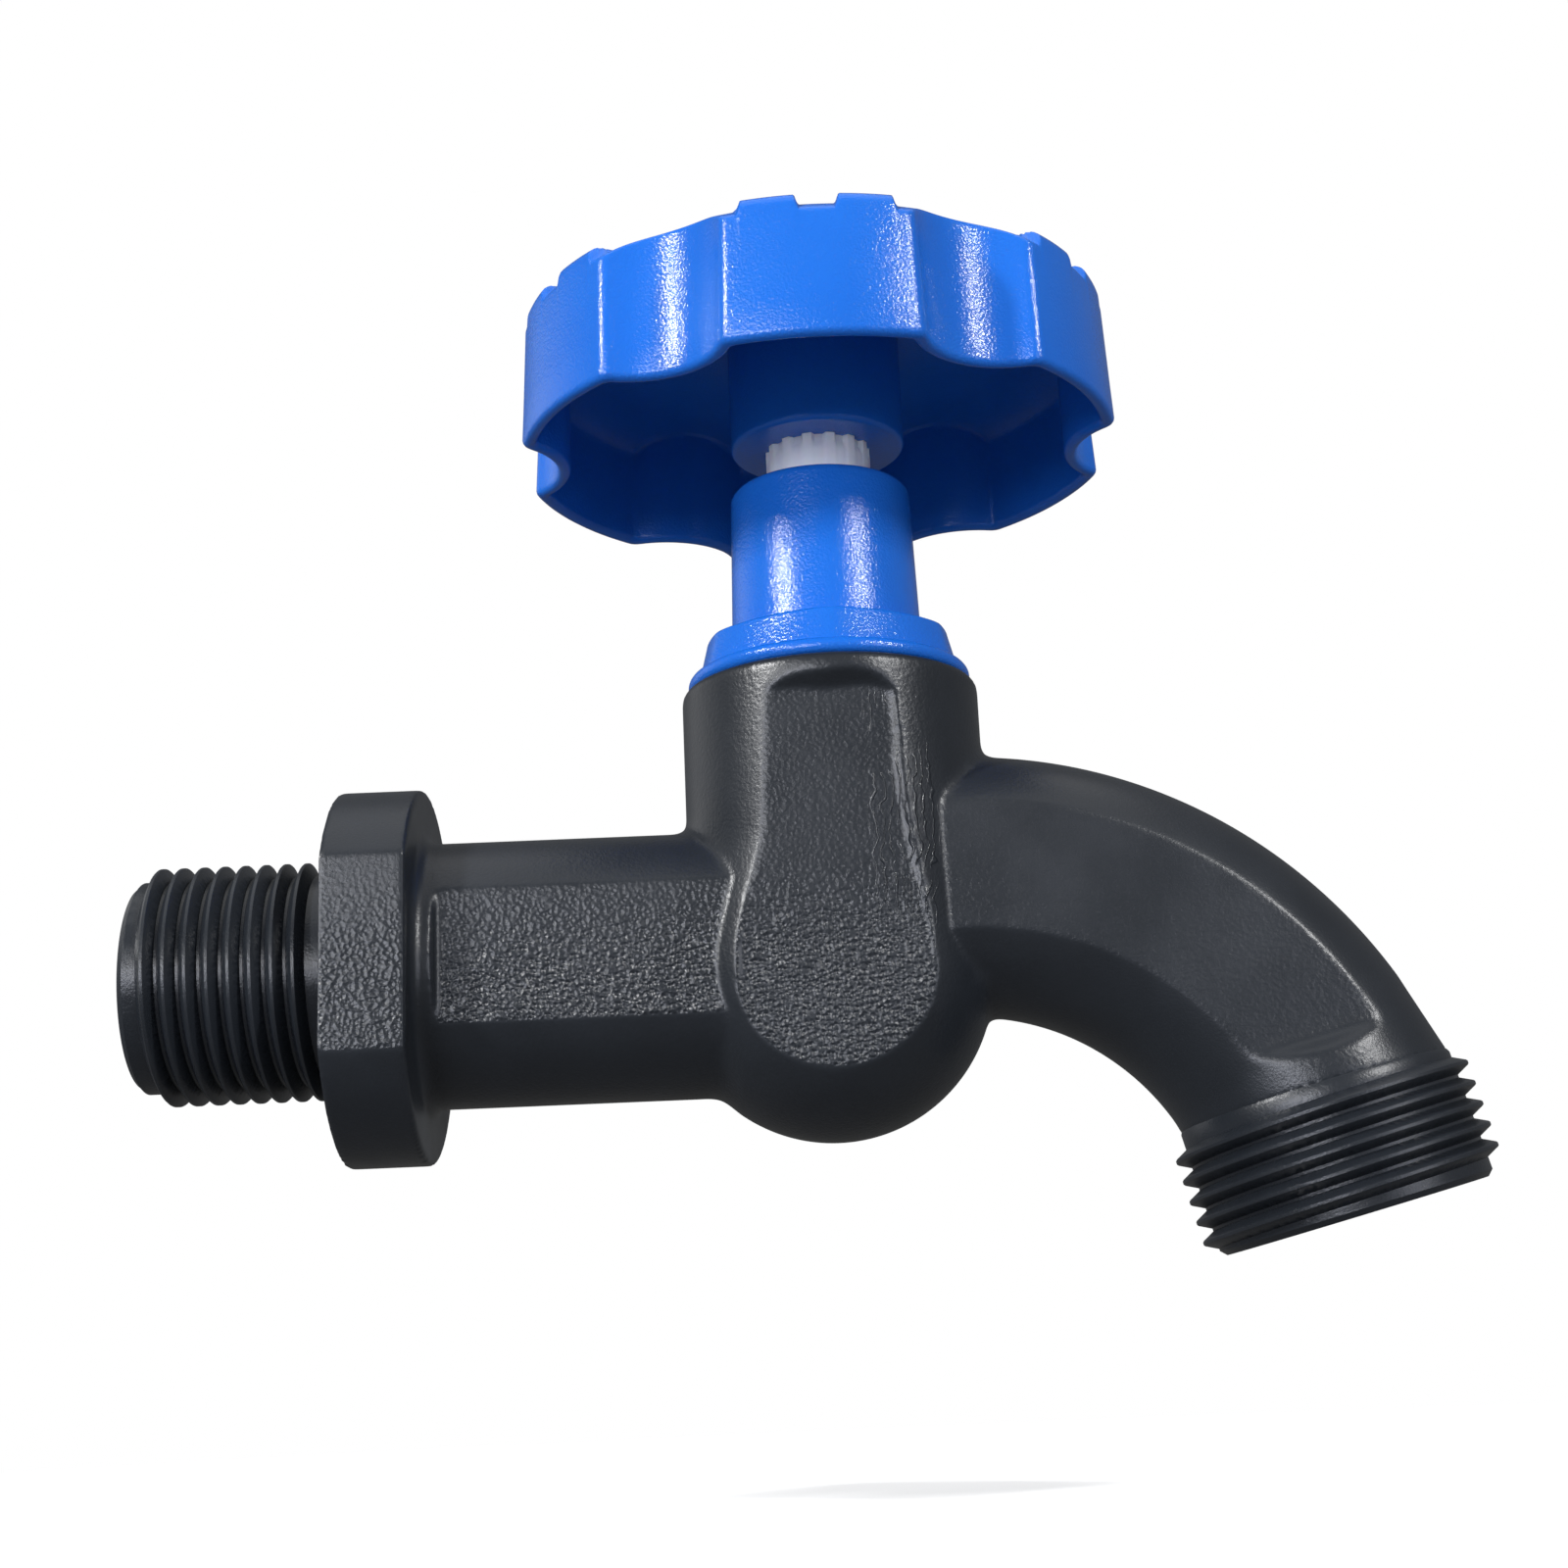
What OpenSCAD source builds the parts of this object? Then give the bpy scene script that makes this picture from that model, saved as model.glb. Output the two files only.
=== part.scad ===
// Garden tap: a moulded screw-down bib tap with a male inlet, a curved spout and a lobed handwheel.
// The origin is the centre of the flange's seating face, on the inlet axis.
// X runs from the inlet to the spout and Z is up. The valve is shut.

/* [Inlet] */
// Diameter over the crests of the inlet thread
inlet_thread_d = 20.955; // [20:0.005:22]
// How far the inlet stands out of the flange
inlet_len = 18; // [17:0.1:22]
// Length of the plain neck between the flange and the inlet thread
inlet_neck_len = 2.9; // [2.3:0.1:4]
// Number of turns on the inlet thread
inlet_turns = 7; // [5:1:7]
// Diameter of the waterway through the inlet and the pipe
inlet_bore_d = 13; // [11:0.1:14]

/* [Pipe thread form] */
// Distance from crest to crest
thread_pitch = 1.814; // [1.7:0.001:1.85]
// Depth from the crest to the root
thread_depth = 1.162; // [0.9:0.001:1.2]
// Width of the flat on the crest
thread_crest_w = 0.36; // [0.3:0.01:0.4]

/* [Flange] */
// Diameter of the flange
flange_d = 33; // [30:0.1:36]
// Thickness of the flange
flange_t = 7.2; // [5:0.1:9]
// Width across the flange's two flats
flange_flats = 28.6; // [25:0.1:29.5]

/* [Pipe] */
// Diameter of the pipe between the flange and the chamber
pipe_d = 23.4; // [22:0.1:24]
// Width across the flats of the pipe and the spout
pipe_flats = 20.4; // [19:0.1:21.5]
// Radius of the fillet between the flange and the pipe
pipe_fillet_r = 1.6; // [0.8:0.1:2.4]

/* [Chamber] */
// Distance from the flange's face to the axis of the chamber
chamber_x = 43.6; // [40:0.1:50]
// Diameter of the chamber
chamber_d = 26.8; // [26.2:0.1:28]
// Height of the chamber's mouth above the inlet axis
chamber_top = 24.6; // [24.2:0.1:28]
// Radius on the outer edge of the mouth
mouth_edge_r = 0.7; // [0.3:0.1:0.9]
// Diameter of the chamber's round foot
foot_d = 28.4; // [27.4:0.1:29.4]
// Height of the foot's centre below the inlet axis
foot_drop = 1.8; // [1:0.1:2.6]
// How far the foot is set towards the inlet
foot_shift = 1; // [0:0.1:1.4]
// Thickness of the wall behind the face panels, beside the room under the seat
panel_wall = 2.2; // [1.6:0.1:3]
// Diameter of the hollow under the bonnet
valve_space_d = 18.4; // [17.6:0.1:18.6]

/* [Face panel] */
// Distance of the flat panel from the chamber's axis, at the inlet axis
panel_depth = 11; // [10.6:0.1:11.6]
// Tilt of the panel, deeper towards the foot
panel_tilt = 2.3; // [0:0.1:3]
// Height of the panel's top edge above the inlet axis
panel_top = 23; // [19:0.1:23.6]
// Radius of the panel's two top corners
panel_corner_r = 3; // [1:0.1:4]

/* [Seat] */
// Thickness of the wall that carries the seat
seat_wall = 1.6; // [1.2:0.1:2]
// Diameter of the seat's hole
seat_d = 9; // [8:0.1:9.4]
// Width of the seat's raised lip
seat_lip_w = 1.2; // [0.8:0.1:1.5]
// Height of the seat's raised lip
seat_lip_h = 1; // [0.6:0.1:1.6]

/* [Spout] */
// Height of the spout's axis above the inlet axis, at the chamber
spout_rise = 6.1; // [5:0.1:7]
// Distance from the chamber's axis to the centre of the spout's bend
bend_x = 10.7; // [9.5:0.1:12]
// Radius of the spout's bend
bend_r = 32.4; // [30:0.1:36]
// Diameter of the spout
spout_d = 23.2; // [22.6:0.1:24.4]
// Angle of the spout's bend
bend_angle = 67.4; // [60:0.1:70]
// Tilt of the outlet away from the vertical
outlet_tilt = 14; // [8:0.5:20]
// Diameter of the waterway through the spout
spout_bore_d = 14; // [12:0.1:14.4]
// Length of the round end of the spout above the outlet thread
spout_end_len = 3.3; // [2:0.1:5]

/* [Outlet] */
// Diameter over the crests of the outlet thread
outlet_thread_d = 26.441; // [26:0.005:28]
// Number of turns on the outlet thread
outlet_turns = 5; // [3:1:5]
// Length of the outlet from the end of the bend
outlet_len = 10.6; // [10.2:0.1:14]
// Diameter of the mouth of the outlet
outlet_bore_d = 18.6; // [16:0.1:19.6]

/* [Bonnet] */
// Diameter of the bonnet's round flange
bonnet_flange_d = 25.6; // [24.6:0.1:26]
// Thickness of the bonnet's round flange
bonnet_flange_t = 1.5; // [1:0.1:2.5]
// Width over the corners of the rounded-hexagon collar
collar_d = 24.4; // [23.8:0.1:24.6]
// Width over the bowed sides of the collar
collar_flats = 23.6; // [22:0.1:24.2]
// Height of the collar
collar_h = 3.1; // [2:0.1:5]
// Diameter of the barrel at the collar
barrel_d = 17.3; // [15:0.1:18.5]
// Diameter of the barrel at its top
barrel_top_d = 16.6; // [14.5:0.1:17.2]
// Height of the barrel above the collar
barrel_h = 14.7; // [13:0.1:16]
// Radius on the barrel's top edge
barrel_edge_r = 0.8; // [0.3:0.1:1.5]
// Diameter of the screwed skirt over its crests
skirt_d = 20.2; // [19.8:0.05:20.6]
// Length of the screwed skirt below the chamber's mouth
skirt_len = 9; // [8.6:0.1:9.6]
// Distance from crest to crest on the skirt
skirt_pitch = 1.5; // [1.2:0.1:1.5]
// Depth of the skirt's thread
skirt_depth = 0.8; // [0.5:0.05:0.85]

/* [Spindle] */
// Diameter of the spindle's stem
stem_d = 9.7; // [9:0.1:10.4]
// Diameter of the spindle's screwed end, at its pitch line
screw_d = 13; // [12:0.1:14]
// Rise of the spindle in one turn
screw_lead = 2.5; // [1.5:0.1:3]
// Turns from shut to fully open
open_turns = 1.5; // [1:0.25:1.5]
// Number of splines on the spindle's head
spline_count = 14; // [10:1:18]
// Height of a spline
spline_h = 0.5; // [0.3:0.05:0.7]
// Width of a spline
spline_w = 0.9; // [0.6:0.05:1.1]
// Length of the splined head below the roof of its socket
spline_len = 8.9; // [7.6:0.1:10]
// Depth of each seal groove
groove_depth = 1.35; // [1.1:0.05:1.5]

/* [Valve] */
// Diameter of the rubber washer
washer_d = 12.4; // [12:0.1:13.2]
// Thickness of the rubber washer
washer_t = 2; // [1.5:0.1:2.5]
// Diameter of the plate that carries the washer
plug_d = 13.2; // [12.4:0.1:14.4]
// Thickness of that plate
plug_t = 2; // [1.5:0.1:2.5]
// Diameter of the plug's stem
plug_stem_d = 5; // [4.4:0.1:5.6]
// Length of the plug's stem
plug_stem_len = 7.5; // [6:0.1:8]
// Diameter of the screw that holds the washer
washer_screw_d = 2.6; // [2:0.1:3]

/* [Handwheel] */
// Height of the rim's lower edge above the inlet axis, valve shut
wheel_z = 47.2; // [47:0.1:50]
// Diameter over the six lobes
wheel_d = 55.4; // [52:0.1:60]
// Height of the rim's wall on the lobes
rim_h = 11.1; // [10:0.1:12]
// Rise of the crowned top above that wall
crown_h = 2.8; // [2:0.1:3.4]
// Radius of the crown's shoulder
crown_r = 8.4; // [7:0.1:10]
// Depth of the hollows between the lobes
valley_depth = 3.3; // [2:0.1:4]
// Angle that each hollow takes up on the rim
valley_angle = 24; // [20:0.5:30]
// Thickness of the rim's wall
rim_wall = 1.3; // [1:0.1:2]
// Thickness of the crown that closes the wheel's top
web_t = 2; // [1.5:0.1:3]
// Diameter of the hub
hub_d = 16.2; // [14:0.1:18]
// Distance of the hub's end above the rim's lower edge
hub_inset = 1; // [0.6:0.1:2]
// Height of the tabs above the rim's wall
tab_h = 1.7; // [1:0.1:2.2]
// Width of a tab
tab_w = 5.3; // [4:0.1:6]
// Gap between the two tabs of a lobe
tab_gap = 3.6; // [2:0.1:5]
// How far a tab reaches in from the rim
tab_reach = 4.6; // [3:0.1:6]

/* [Wheel screw] */
// Diameter of the screw that holds the wheel
wheel_screw_d = 4; // [3:0.1:4.4]
// Length of that screw under its head
wheel_screw_len = 14; // [10:0.1:16]
// Diameter of the screw's head
wheel_screw_head_d = 6.8; // [6:0.1:7.6]
// Thickness of the flat washer under the head
wheel_washer_t = 0.6; // [0.4:0.1:1]
// Diameter of the cap over the screw
cap_d = 10.8; // [10.4:0.1:11.6]

/* [Hidden] */
$fn = 96;

// Colours
body_black = "#2b2f33";
tap_blue = "#1f6fe0";
stem_white = "#f0f1f0";
rubber_black = "#1c1c1c";
brass = "#c9a35a";
steel = "#b9bcc0";

// Clearances
running = 0.08;
fit = 0.05;
cut = 1;
seal_play = 0.03;

// Pipe thread
flank = 27.5;
crest_start = thread_crest_w / 2 + thread_depth * tan(flank);
inlet_first = inlet_neck_len + crest_start;
outlet_first = 0.9;
inlet_root_d = inlet_thread_d - 2 * thread_depth;
outlet_root_d = outlet_thread_d - 2 * thread_depth;
end_chamfer = 0.4;

// Spout
bend_z = spout_rise - bend_r;
bend_end_angle = 90 - bend_angle;
mouth_turn = 10;
bore_sill_z = 0.1;
bore_bend_r = (bore_sill_z - bend_z) / cos(mouth_turn) + spout_bore_d / 2;

// Chamber, seat and bonnet seal
room_wall = 1.8;
inlet_bore_end = chamber_x - valve_space_d / 2 - room_wall;
foot_room_r = panel_depth - foot_drop * tan(panel_tilt) - panel_wall;
seal_space_h = 1.4;
seal_room = 0.1;
seal_wire_d = seal_space_h - seal_room;
neck_relief = 0.1;
skirt_neck_d = skirt_d - 2 * neck_relief;
seal_space_d = skirt_neck_d + 2 * seal_wire_d + seal_room;
skirt_top = chamber_top - seal_space_h;
skirt_z = chamber_top - skirt_len;
skirt_end_len = 1.2;
skirt_turns = floor((skirt_len - seal_space_h - skirt_end_len) / skirt_pitch);
skirt_crest_w = 0.3;
panel_half_w = sqrt(pow(chamber_d / 2, 2) - pow(panel_depth + panel_top * tan(panel_tilt), 2)) + 0.3;

// Bonnet heights
collar_z = chamber_top + bonnet_flange_t;
barrel_z = collar_z + collar_h;
bonnet_top = barrel_z + barrel_h;
collar_r = collar_d / 2;
collar_a = collar_flats / 2;
collar_bow_r = (pow(collar_r, 2) + pow(collar_a, 2) - 2 * collar_r * collar_a * cos(30))
    / (2 * (collar_a - collar_r * cos(30)));

// Valve and spindle heights
travel = screw_lead * open_turns;
washer_z = seat_lip_h + fit;
plug_z = washer_z + washer_t;
foot_z = plug_z + plug_t + fit;
screw_reach = 4.4;
screw_top = skirt_z + screw_reach;
open_play = 0.45;
gland_z = screw_top + travel + open_play;
gland_len = bonnet_top - gland_z;
groove_w = 1.8;
lower_groove_z = gland_z + gland_len * 0.34;
upper_groove_z = gland_z + gland_len * 0.64;
groove_d = stem_d - 2 * groove_depth;
gland_d = stem_d + 2 * running;
ring_wire_d = (gland_d - groove_d) / 2 - 2 * seal_play;
ring_mid_d = groove_d + ring_wire_d + 2 * seal_play;

// Handwheel heights
rim_top = wheel_z + rim_h;
wheel_top = rim_top + crown_h;
hub_z = wheel_z + hub_inset;
screw_head_h = 1.5;
cap_t = 1;
cap_wall = 0.7;
cap_play = 0.3;
cap_floor_z = wheel_top - cap_t - cap_play - screw_head_h - wheel_washer_t;
socket_roof_t = 2.3;
socket_roof_z = cap_floor_z - socket_roof_t;
head_z = socket_roof_z - fit;
spline_z = head_z - spline_len;
lobes = 6;
rim_r = wheel_d / 2;
valley_half = rim_r * sin(valley_angle / 2);
valley_rise = rim_r * cos(valley_angle / 2) - (rim_r - valley_depth);
valley_r = (pow(valley_half, 2) + pow(valley_rise, 2)) / (2 * valley_rise);
valley_mid = rim_r - valley_depth + valley_r;
tab_inset = 0.4;
crown_x = rim_r - sqrt(crown_h * (2 * crown_r - crown_h));

// Washer under the wheel's screw
washer_rim = 0.8;

// Half profile of a threaded bar: count crests from the first one, on a root of the given length
module thread_profile(crest_r, depth, pitch, crest_w, first, count, length) {
    root_r = crest_r - depth;
    half_top = crest_w / 2;
    half_base = half_top + depth * tan(flank);
    crests = [for (k = [0 : count - 1]) let (z = first + k * pitch)
        each [[root_r, z - half_base], [crest_r, z - half_top], [crest_r, z + half_top], [root_r, z + half_base]]];
    polygon(concat([[0, 0], [root_r, 0]], crests, [[root_r, length - end_chamfer],
        [root_r - end_chamfer, length], [0, length]]));
}

// Threaded bar that stands on the plane z = 0
module threaded_bar(crest_d, depth, pitch, crest_w, first, count, length) {
    rotate_extrude() thread_profile(crest_d / 2, depth, pitch, crest_w, first, count, length);
}

// Places what it is given at the end of the spout's bend, with +Z running out of the outlet
module at_outlet() {
    translate([chamber_x + bend_x + bend_r * cos(bend_end_angle), 0, bend_z + bend_r * sin(bend_end_angle)])
        rotate([0, 180 - outlet_tilt, 0])
            children();
}

// Part of a bent bar, from the outlet end of the bend back by the given angle
module bent_bar(radius, d, angle) {
    translate([chamber_x + bend_x, 0, bend_z])
        rotate([90, 0, 0])
            rotate_extrude(start = bend_end_angle, angle = angle)
                translate([radius, 0])
                    circle(d = d);
}

// The space outside one side's flat of the pipe and the spout
module flat_cutter() {
    reach = foot_d;
    rear = bend_r;
    end_x = bend_x + bend_r * cos(bend_end_angle) - spout_end_len * sin(outlet_tilt);
    end_z = bend_z + bend_r * sin(bend_end_angle) + spout_end_len * cos(outlet_tilt);
    across = [spout_d * cos(outlet_tilt), spout_d * sin(outlet_tilt)];
    translate([0, -pipe_flats / 2, 0])
        rotate([90, 0, 0])
            linear_extrude(reach)
                polygon([[flange_t + pipe_fillet_r, -rear], [flange_t + pipe_fillet_r, rear],
                    [chamber_x + end_x + across[0], rear],
                    [chamber_x + end_x + across[0], end_z + across[1]],
                    [chamber_x + end_x - across[0], end_z - across[1]],
                    [chamber_x + end_x - across[0], -rear]]);
}

// Outline of the face panel: two rounded corners at the top, open towards the foot
module panel_outline() {
    half = panel_depth;
    low = foot_d;
    translate([-half, -low]) square([2 * half, low + panel_top - panel_corner_r]);
    translate([-panel_half_w + panel_corner_r, 0]) square([2 * (panel_half_w - panel_corner_r), panel_top]);
    for (side = [-1, 1])
        translate([side * (panel_half_w - panel_corner_r), panel_top - panel_corner_r])
            circle(r = panel_corner_r);
}

// The space in front of one face panel
module panel_cutter() {
    translate([chamber_x, -panel_depth, 0])
        rotate([90 + panel_tilt, 0, 0])
            linear_extrude(foot_d)
                panel_outline();
}

// Pipe and spout with their flats
module pipe_and_spout() {
    difference() {
        union() {
            rotate([0, 90, 0]) cylinder(d = pipe_d, h = chamber_x);
            translate([chamber_x, 0, spout_rise]) rotate([0, 90, 0]) cylinder(d = spout_d, h = bend_x);
            bent_bar(bend_r, spout_d, bend_angle);
        }
        flat_cutter();
        mirror([0, 1, 0]) flat_cutter();
    }
}

// Chamber with its rounded mouth, its round foot and its two face panels
module chamber() {
    difference() {
        union() {
            translate([chamber_x, 0, -foot_drop])
                rotate_extrude()
                    union() {
                        square([chamber_d / 2, chamber_top + foot_drop - mouth_edge_r]);
                        square([chamber_d / 2 - mouth_edge_r, chamber_top + foot_drop]);
                        translate([chamber_d / 2 - mouth_edge_r, chamber_top + foot_drop - mouth_edge_r])
                            circle(r = mouth_edge_r);
                    }
            translate([chamber_x - foot_shift, 0, -foot_drop]) sphere(d = foot_d);
        }
        panel_cutter();
        mirror([0, 1, 0]) panel_cutter();
    }
}

// Flange with its two flats, and the fillet behind it
module flange() {
    intersection() {
        rotate([0, 90, 0]) cylinder(d = flange_d, h = flange_t);
        translate([-cut, -flange_flats / 2, -flange_d]) cube([flange_t + 2 * cut, flange_flats, 2 * flange_d]);
    }
    translate([flange_t, 0, 0])
        rotate([0, 90, 0])
            rotate_extrude()
                difference() {
                    square([pipe_d / 2 + pipe_fillet_r, pipe_fillet_r]);
                    translate([pipe_d / 2 + pipe_fillet_r, pipe_fillet_r]) circle(r = pipe_fillet_r);
                }
}

// Waterway from the inlet to the room under the seat
module lower_waterway() {
    translate([-inlet_len - cut, 0, 0])
        rotate([0, 90, 0])
            cylinder(d = inlet_bore_d, h = inlet_len + cut + inlet_bore_end);
    intersection() {
        union() {
            translate([chamber_x - foot_shift, 0, -foot_drop]) sphere(r = foot_room_r);
            translate([inlet_bore_end - cut, 0, 0])
                rotate([0, 90, 0])
                    cylinder(d = inlet_bore_d, h = chamber_x - inlet_bore_end + cut);
        }
        translate([0, -foot_d, -2 * foot_d - seat_wall]) cube([2 * chamber_x, 2 * foot_d, 2 * foot_d]);
    }
    translate([chamber_x, 0, -seat_wall - cut]) cylinder(d = seat_d, h = seat_wall + 2 * cut);
}

// Waterway from above the seat to the outlet
module upper_waterway() {
    translate([chamber_x, 0, 0]) cylinder(d = valve_space_d, h = chamber_top + cut);
    bent_bar(bore_bend_r, spout_bore_d, bend_angle + mouth_turn);
    at_outlet() translate([0, 0, -spout_end_len]) cylinder(d = outlet_bore_d, h = outlet_len + spout_end_len + cut);
}

// Screwed mouth of the chamber, with the room for its seal
module bonnet_seat() {
    translate([chamber_x, 0, chamber_top - seal_space_h]) cylinder(d = seal_space_d, h = seal_space_h + cut);
    translate([chamber_x, 0, chamber_top])
        mirror([0, 0, 1])
            threaded_bar(skirt_d + 2 * fit, skirt_depth, skirt_pitch, skirt_crest_w,
                seal_space_h + skirt_pitch / 2, skirt_turns, skirt_len + end_chamfer);
}

module tap_body() {
    color(body_black) {
        difference() {
            union() {
                rotate([0, -90, 0])
                    threaded_bar(inlet_thread_d, thread_depth, thread_pitch, thread_crest_w,
                        inlet_first, inlet_turns, inlet_len);
                flange();
                pipe_and_spout();
                chamber();
                at_outlet()
                    translate([0, 0, -spout_end_len])
                        threaded_bar(outlet_thread_d, thread_depth, thread_pitch, thread_crest_w,
                            outlet_first + spout_end_len, outlet_turns, outlet_len + spout_end_len);
            }
            lower_waterway();
            upper_waterway();
            bonnet_seat();
        }
        translate([chamber_x, 0, -seat_wall / 2])
            difference() {
                cylinder(d = seat_d + 2 * seat_lip_w, h = seat_wall / 2 + seat_lip_h);
                translate([0, 0, -cut]) cylinder(d = seat_d, h = seat_wall + seat_lip_h + 2 * cut);
            }
    }
}

// One bowed side of the collar, turned by the given number of sixths
module collar_side(k) {
    rotate(60 * k) translate([collar_a - collar_bow_r, 0]) circle(r = collar_bow_r, $fn = 180);
}

// Rounded hexagon of the collar, with a corner on the front: what its six bowed sides share
module collar_outline(k = 0) {
    if (k == 5)
        collar_side(k);
    else
        intersection() {
            collar_side(k);
            collar_outline(k + 1);
        }
}

module bonnet() {
    edge = barrel_edge_r;
    color(tap_blue)
        translate([chamber_x, 0, 0])
            difference() {
                union() {
                    translate([0, 0, chamber_top])
                        mirror([0, 0, 1])
                            threaded_bar(skirt_d, skirt_depth, skirt_pitch, skirt_crest_w,
                                seal_space_h + skirt_pitch / 2, skirt_turns, skirt_len);
                    translate([0, 0, skirt_top]) cylinder(d = skirt_neck_d, h = seal_space_h);
                    translate([0, 0, chamber_top])
                        rotate_extrude()
                            union() {
                                square([bonnet_flange_d / 2, bonnet_flange_t / 2]);
                                square([(bonnet_flange_d - bonnet_flange_t) / 2, bonnet_flange_t]);
                                translate([(bonnet_flange_d - bonnet_flange_t) / 2, bonnet_flange_t / 2])
                                    circle(d = bonnet_flange_t);
                            }
                    translate([0, 0, collar_z]) linear_extrude(collar_h) collar_outline();
                    translate([0, 0, barrel_z])
                        cylinder(d1 = barrel_d, d2 = barrel_top_d, h = barrel_h - edge);
                    translate([0, 0, bonnet_top - edge])
                        rotate_extrude()
                            intersection() {
                                translate([barrel_top_d / 2 - edge, 0]) circle(r = edge);
                                square([barrel_top_d, edge]);
                            }
                    translate([0, 0, bonnet_top - edge]) cylinder(d = barrel_top_d - 2 * edge, h = edge);
                }
                translate([0, 0, skirt_z - cut]) cylinder(d = screw_d + 2 * running, h = gland_z - skirt_z + cut);
                cylinder(d = gland_d, h = bonnet_top + cut);
            }
}

module bonnet_o_ring() {
    color(rubber_black)
        translate([chamber_x, 0, chamber_top - seal_space_h / 2])
            rotate_extrude()
                translate([(skirt_neck_d + seal_space_d) / 4, 0])
                    circle(d = seal_wire_d - fit, $fn = 32);
}

// Splined section of the spindle's head, grown all round by the given gap
module spline_outline(gap) {
    circle(d = stem_d - 2 * spline_h + 2 * gap);
    for (k = [0 : spline_count - 1])
        rotate(360 * k / spline_count)
            translate([0, -spline_w / 2 - gap])
                square([stem_d / 2 + gap, spline_w + 2 * gap]);
}

module spindle() {
    lead_in = 0.8;
    color(stem_white)
        translate([chamber_x, 0, 0])
            difference() {
                union() {
                    translate([0, 0, foot_z]) cylinder(d1 = screw_d - 2 * lead_in, d2 = screw_d, h = lead_in);
                    translate([0, 0, foot_z + lead_in]) cylinder(d = screw_d, h = screw_top - foot_z - lead_in);
                    translate([0, 0, screw_top]) cylinder(d = stem_d, h = spline_z - screw_top);
                    translate([0, 0, spline_z]) linear_extrude(spline_len) spline_outline(0);
                }
                translate([0, 0, foot_z - cut]) cylinder(d = plug_stem_d + 2 * running, h = plug_stem_len + 1 + cut);
                translate([0, 0, head_z - wheel_screw_len]) cylinder(d = wheel_screw_d, h = wheel_screw_len + cut);
                for (z = [lower_groove_z, upper_groove_z])
                    translate([0, 0, z - groove_w / 2])
                        difference() {
                            cylinder(d = stem_d + cut, h = groove_w);
                            translate([0, 0, -cut]) cylinder(d = groove_d, h = groove_w + 2 * cut);
                        }
            }
}

// Rubber ring of a spindle groove at the given height
module stem_seal(z) {
    color(rubber_black)
        translate([chamber_x, 0, z])
            rotate_extrude()
                translate([ring_mid_d / 2, 0])
                    circle(d = ring_wire_d, $fn = 32);
}

module spindle_o_ring_lower() {
    stem_seal(lower_groove_z);
}

module spindle_o_ring_upper() {
    stem_seal(upper_groove_z);
}

module valve_plug() {
    chamfer = 0.4;
    color(brass)
        translate([chamber_x, 0, plug_z])
            difference() {
                union() {
                    cylinder(d = plug_d, h = plug_t);
                    cylinder(d = plug_stem_d, h = plug_t + plug_stem_len - chamfer);
                    translate([0, 0, plug_t + plug_stem_len - chamfer])
                        cylinder(d1 = plug_stem_d, d2 = plug_stem_d - 2 * chamfer, h = chamfer);
                }
                translate([0, 0, -cut]) cylinder(d = washer_screw_d + 2 * fit, h = plug_t + plug_stem_len / 2 + cut);
            }
}

module valve_washer() {
    color(rubber_black)
        translate([chamber_x, 0, washer_z])
            difference() {
                cylinder(d = washer_d, h = washer_t);
                translate([0, 0, -cut]) cylinder(d = washer_screw_d + 2 * fit, h = washer_t + 2 * cut);
            }
}

module washer_screw() {
    head_d = 2 * washer_screw_d;
    head_h = 1.5;
    slot_w = 0.7;
    color(brass)
        translate([chamber_x, 0, washer_z - head_h])
            difference() {
                union() {
                    cylinder(d = head_d, h = head_h);
                    cylinder(d = washer_screw_d, h = head_h + washer_t + plug_t + plug_stem_len / 2 - fit);
                }
                translate([-head_d, -slot_w / 2, -cut]) cube([2 * head_d, slot_w, cut + head_h / 2]);
            }
}

// Lobed outline of the wheel, drawn in by the given amount
module lobed_outline(inset) {
    difference() {
        circle(r = rim_r - inset, $fn = 180);
        for (k = [0 : lobes - 1])
            rotate(60 * k)
                translate([valley_mid, 0])
                    circle(r = valley_r + inset);
    }
}

module handwheel() {
    color(tap_blue)
        translate([chamber_x, 0, 0])
            difference() {
                union() {
                    difference() {
                        union() {
                            crowned_lobes(0, 0, wheel_z);
                            lobe_tabs();
                        }
                        crowned_lobes(rim_wall, web_t, wheel_z - cut);
                    }
                    translate([0, 0, hub_z]) cylinder(d = hub_d, h = wheel_top - web_t / 2 - hub_z);
                }
                translate([0, 0, hub_z - cut]) linear_extrude(socket_roof_z - hub_z + cut) spline_outline(fit);
                translate([0, 0, socket_roof_z - cut]) cylinder(d = wheel_screw_d + 2 * fit, h = wheel_top);
                translate([0, 0, cap_floor_z]) cylinder(d = cap_d + 2 * fit, h = wheel_top);
            }
}

// Lobed prism under a crown, from the given height: the wheel's outside, or its hollow when drawn in
module crowned_lobes(side_inset, top_inset, low) {
    crown_mid = wheel_top - crown_r;
    under = low - cut;
    intersection() {
        translate([0, 0, low]) linear_extrude(wheel_top - low + cut) lobed_outline(side_inset);
        rotate_extrude($fn = 180)
            union() {
                translate([0, under]) square([rim_r + cut, crown_mid - under]);
                translate([0, under]) square([crown_x, wheel_top - top_inset - under]);
                translate([crown_x, crown_mid]) circle(r = crown_r - top_inset);
            }
    }
}

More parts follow.
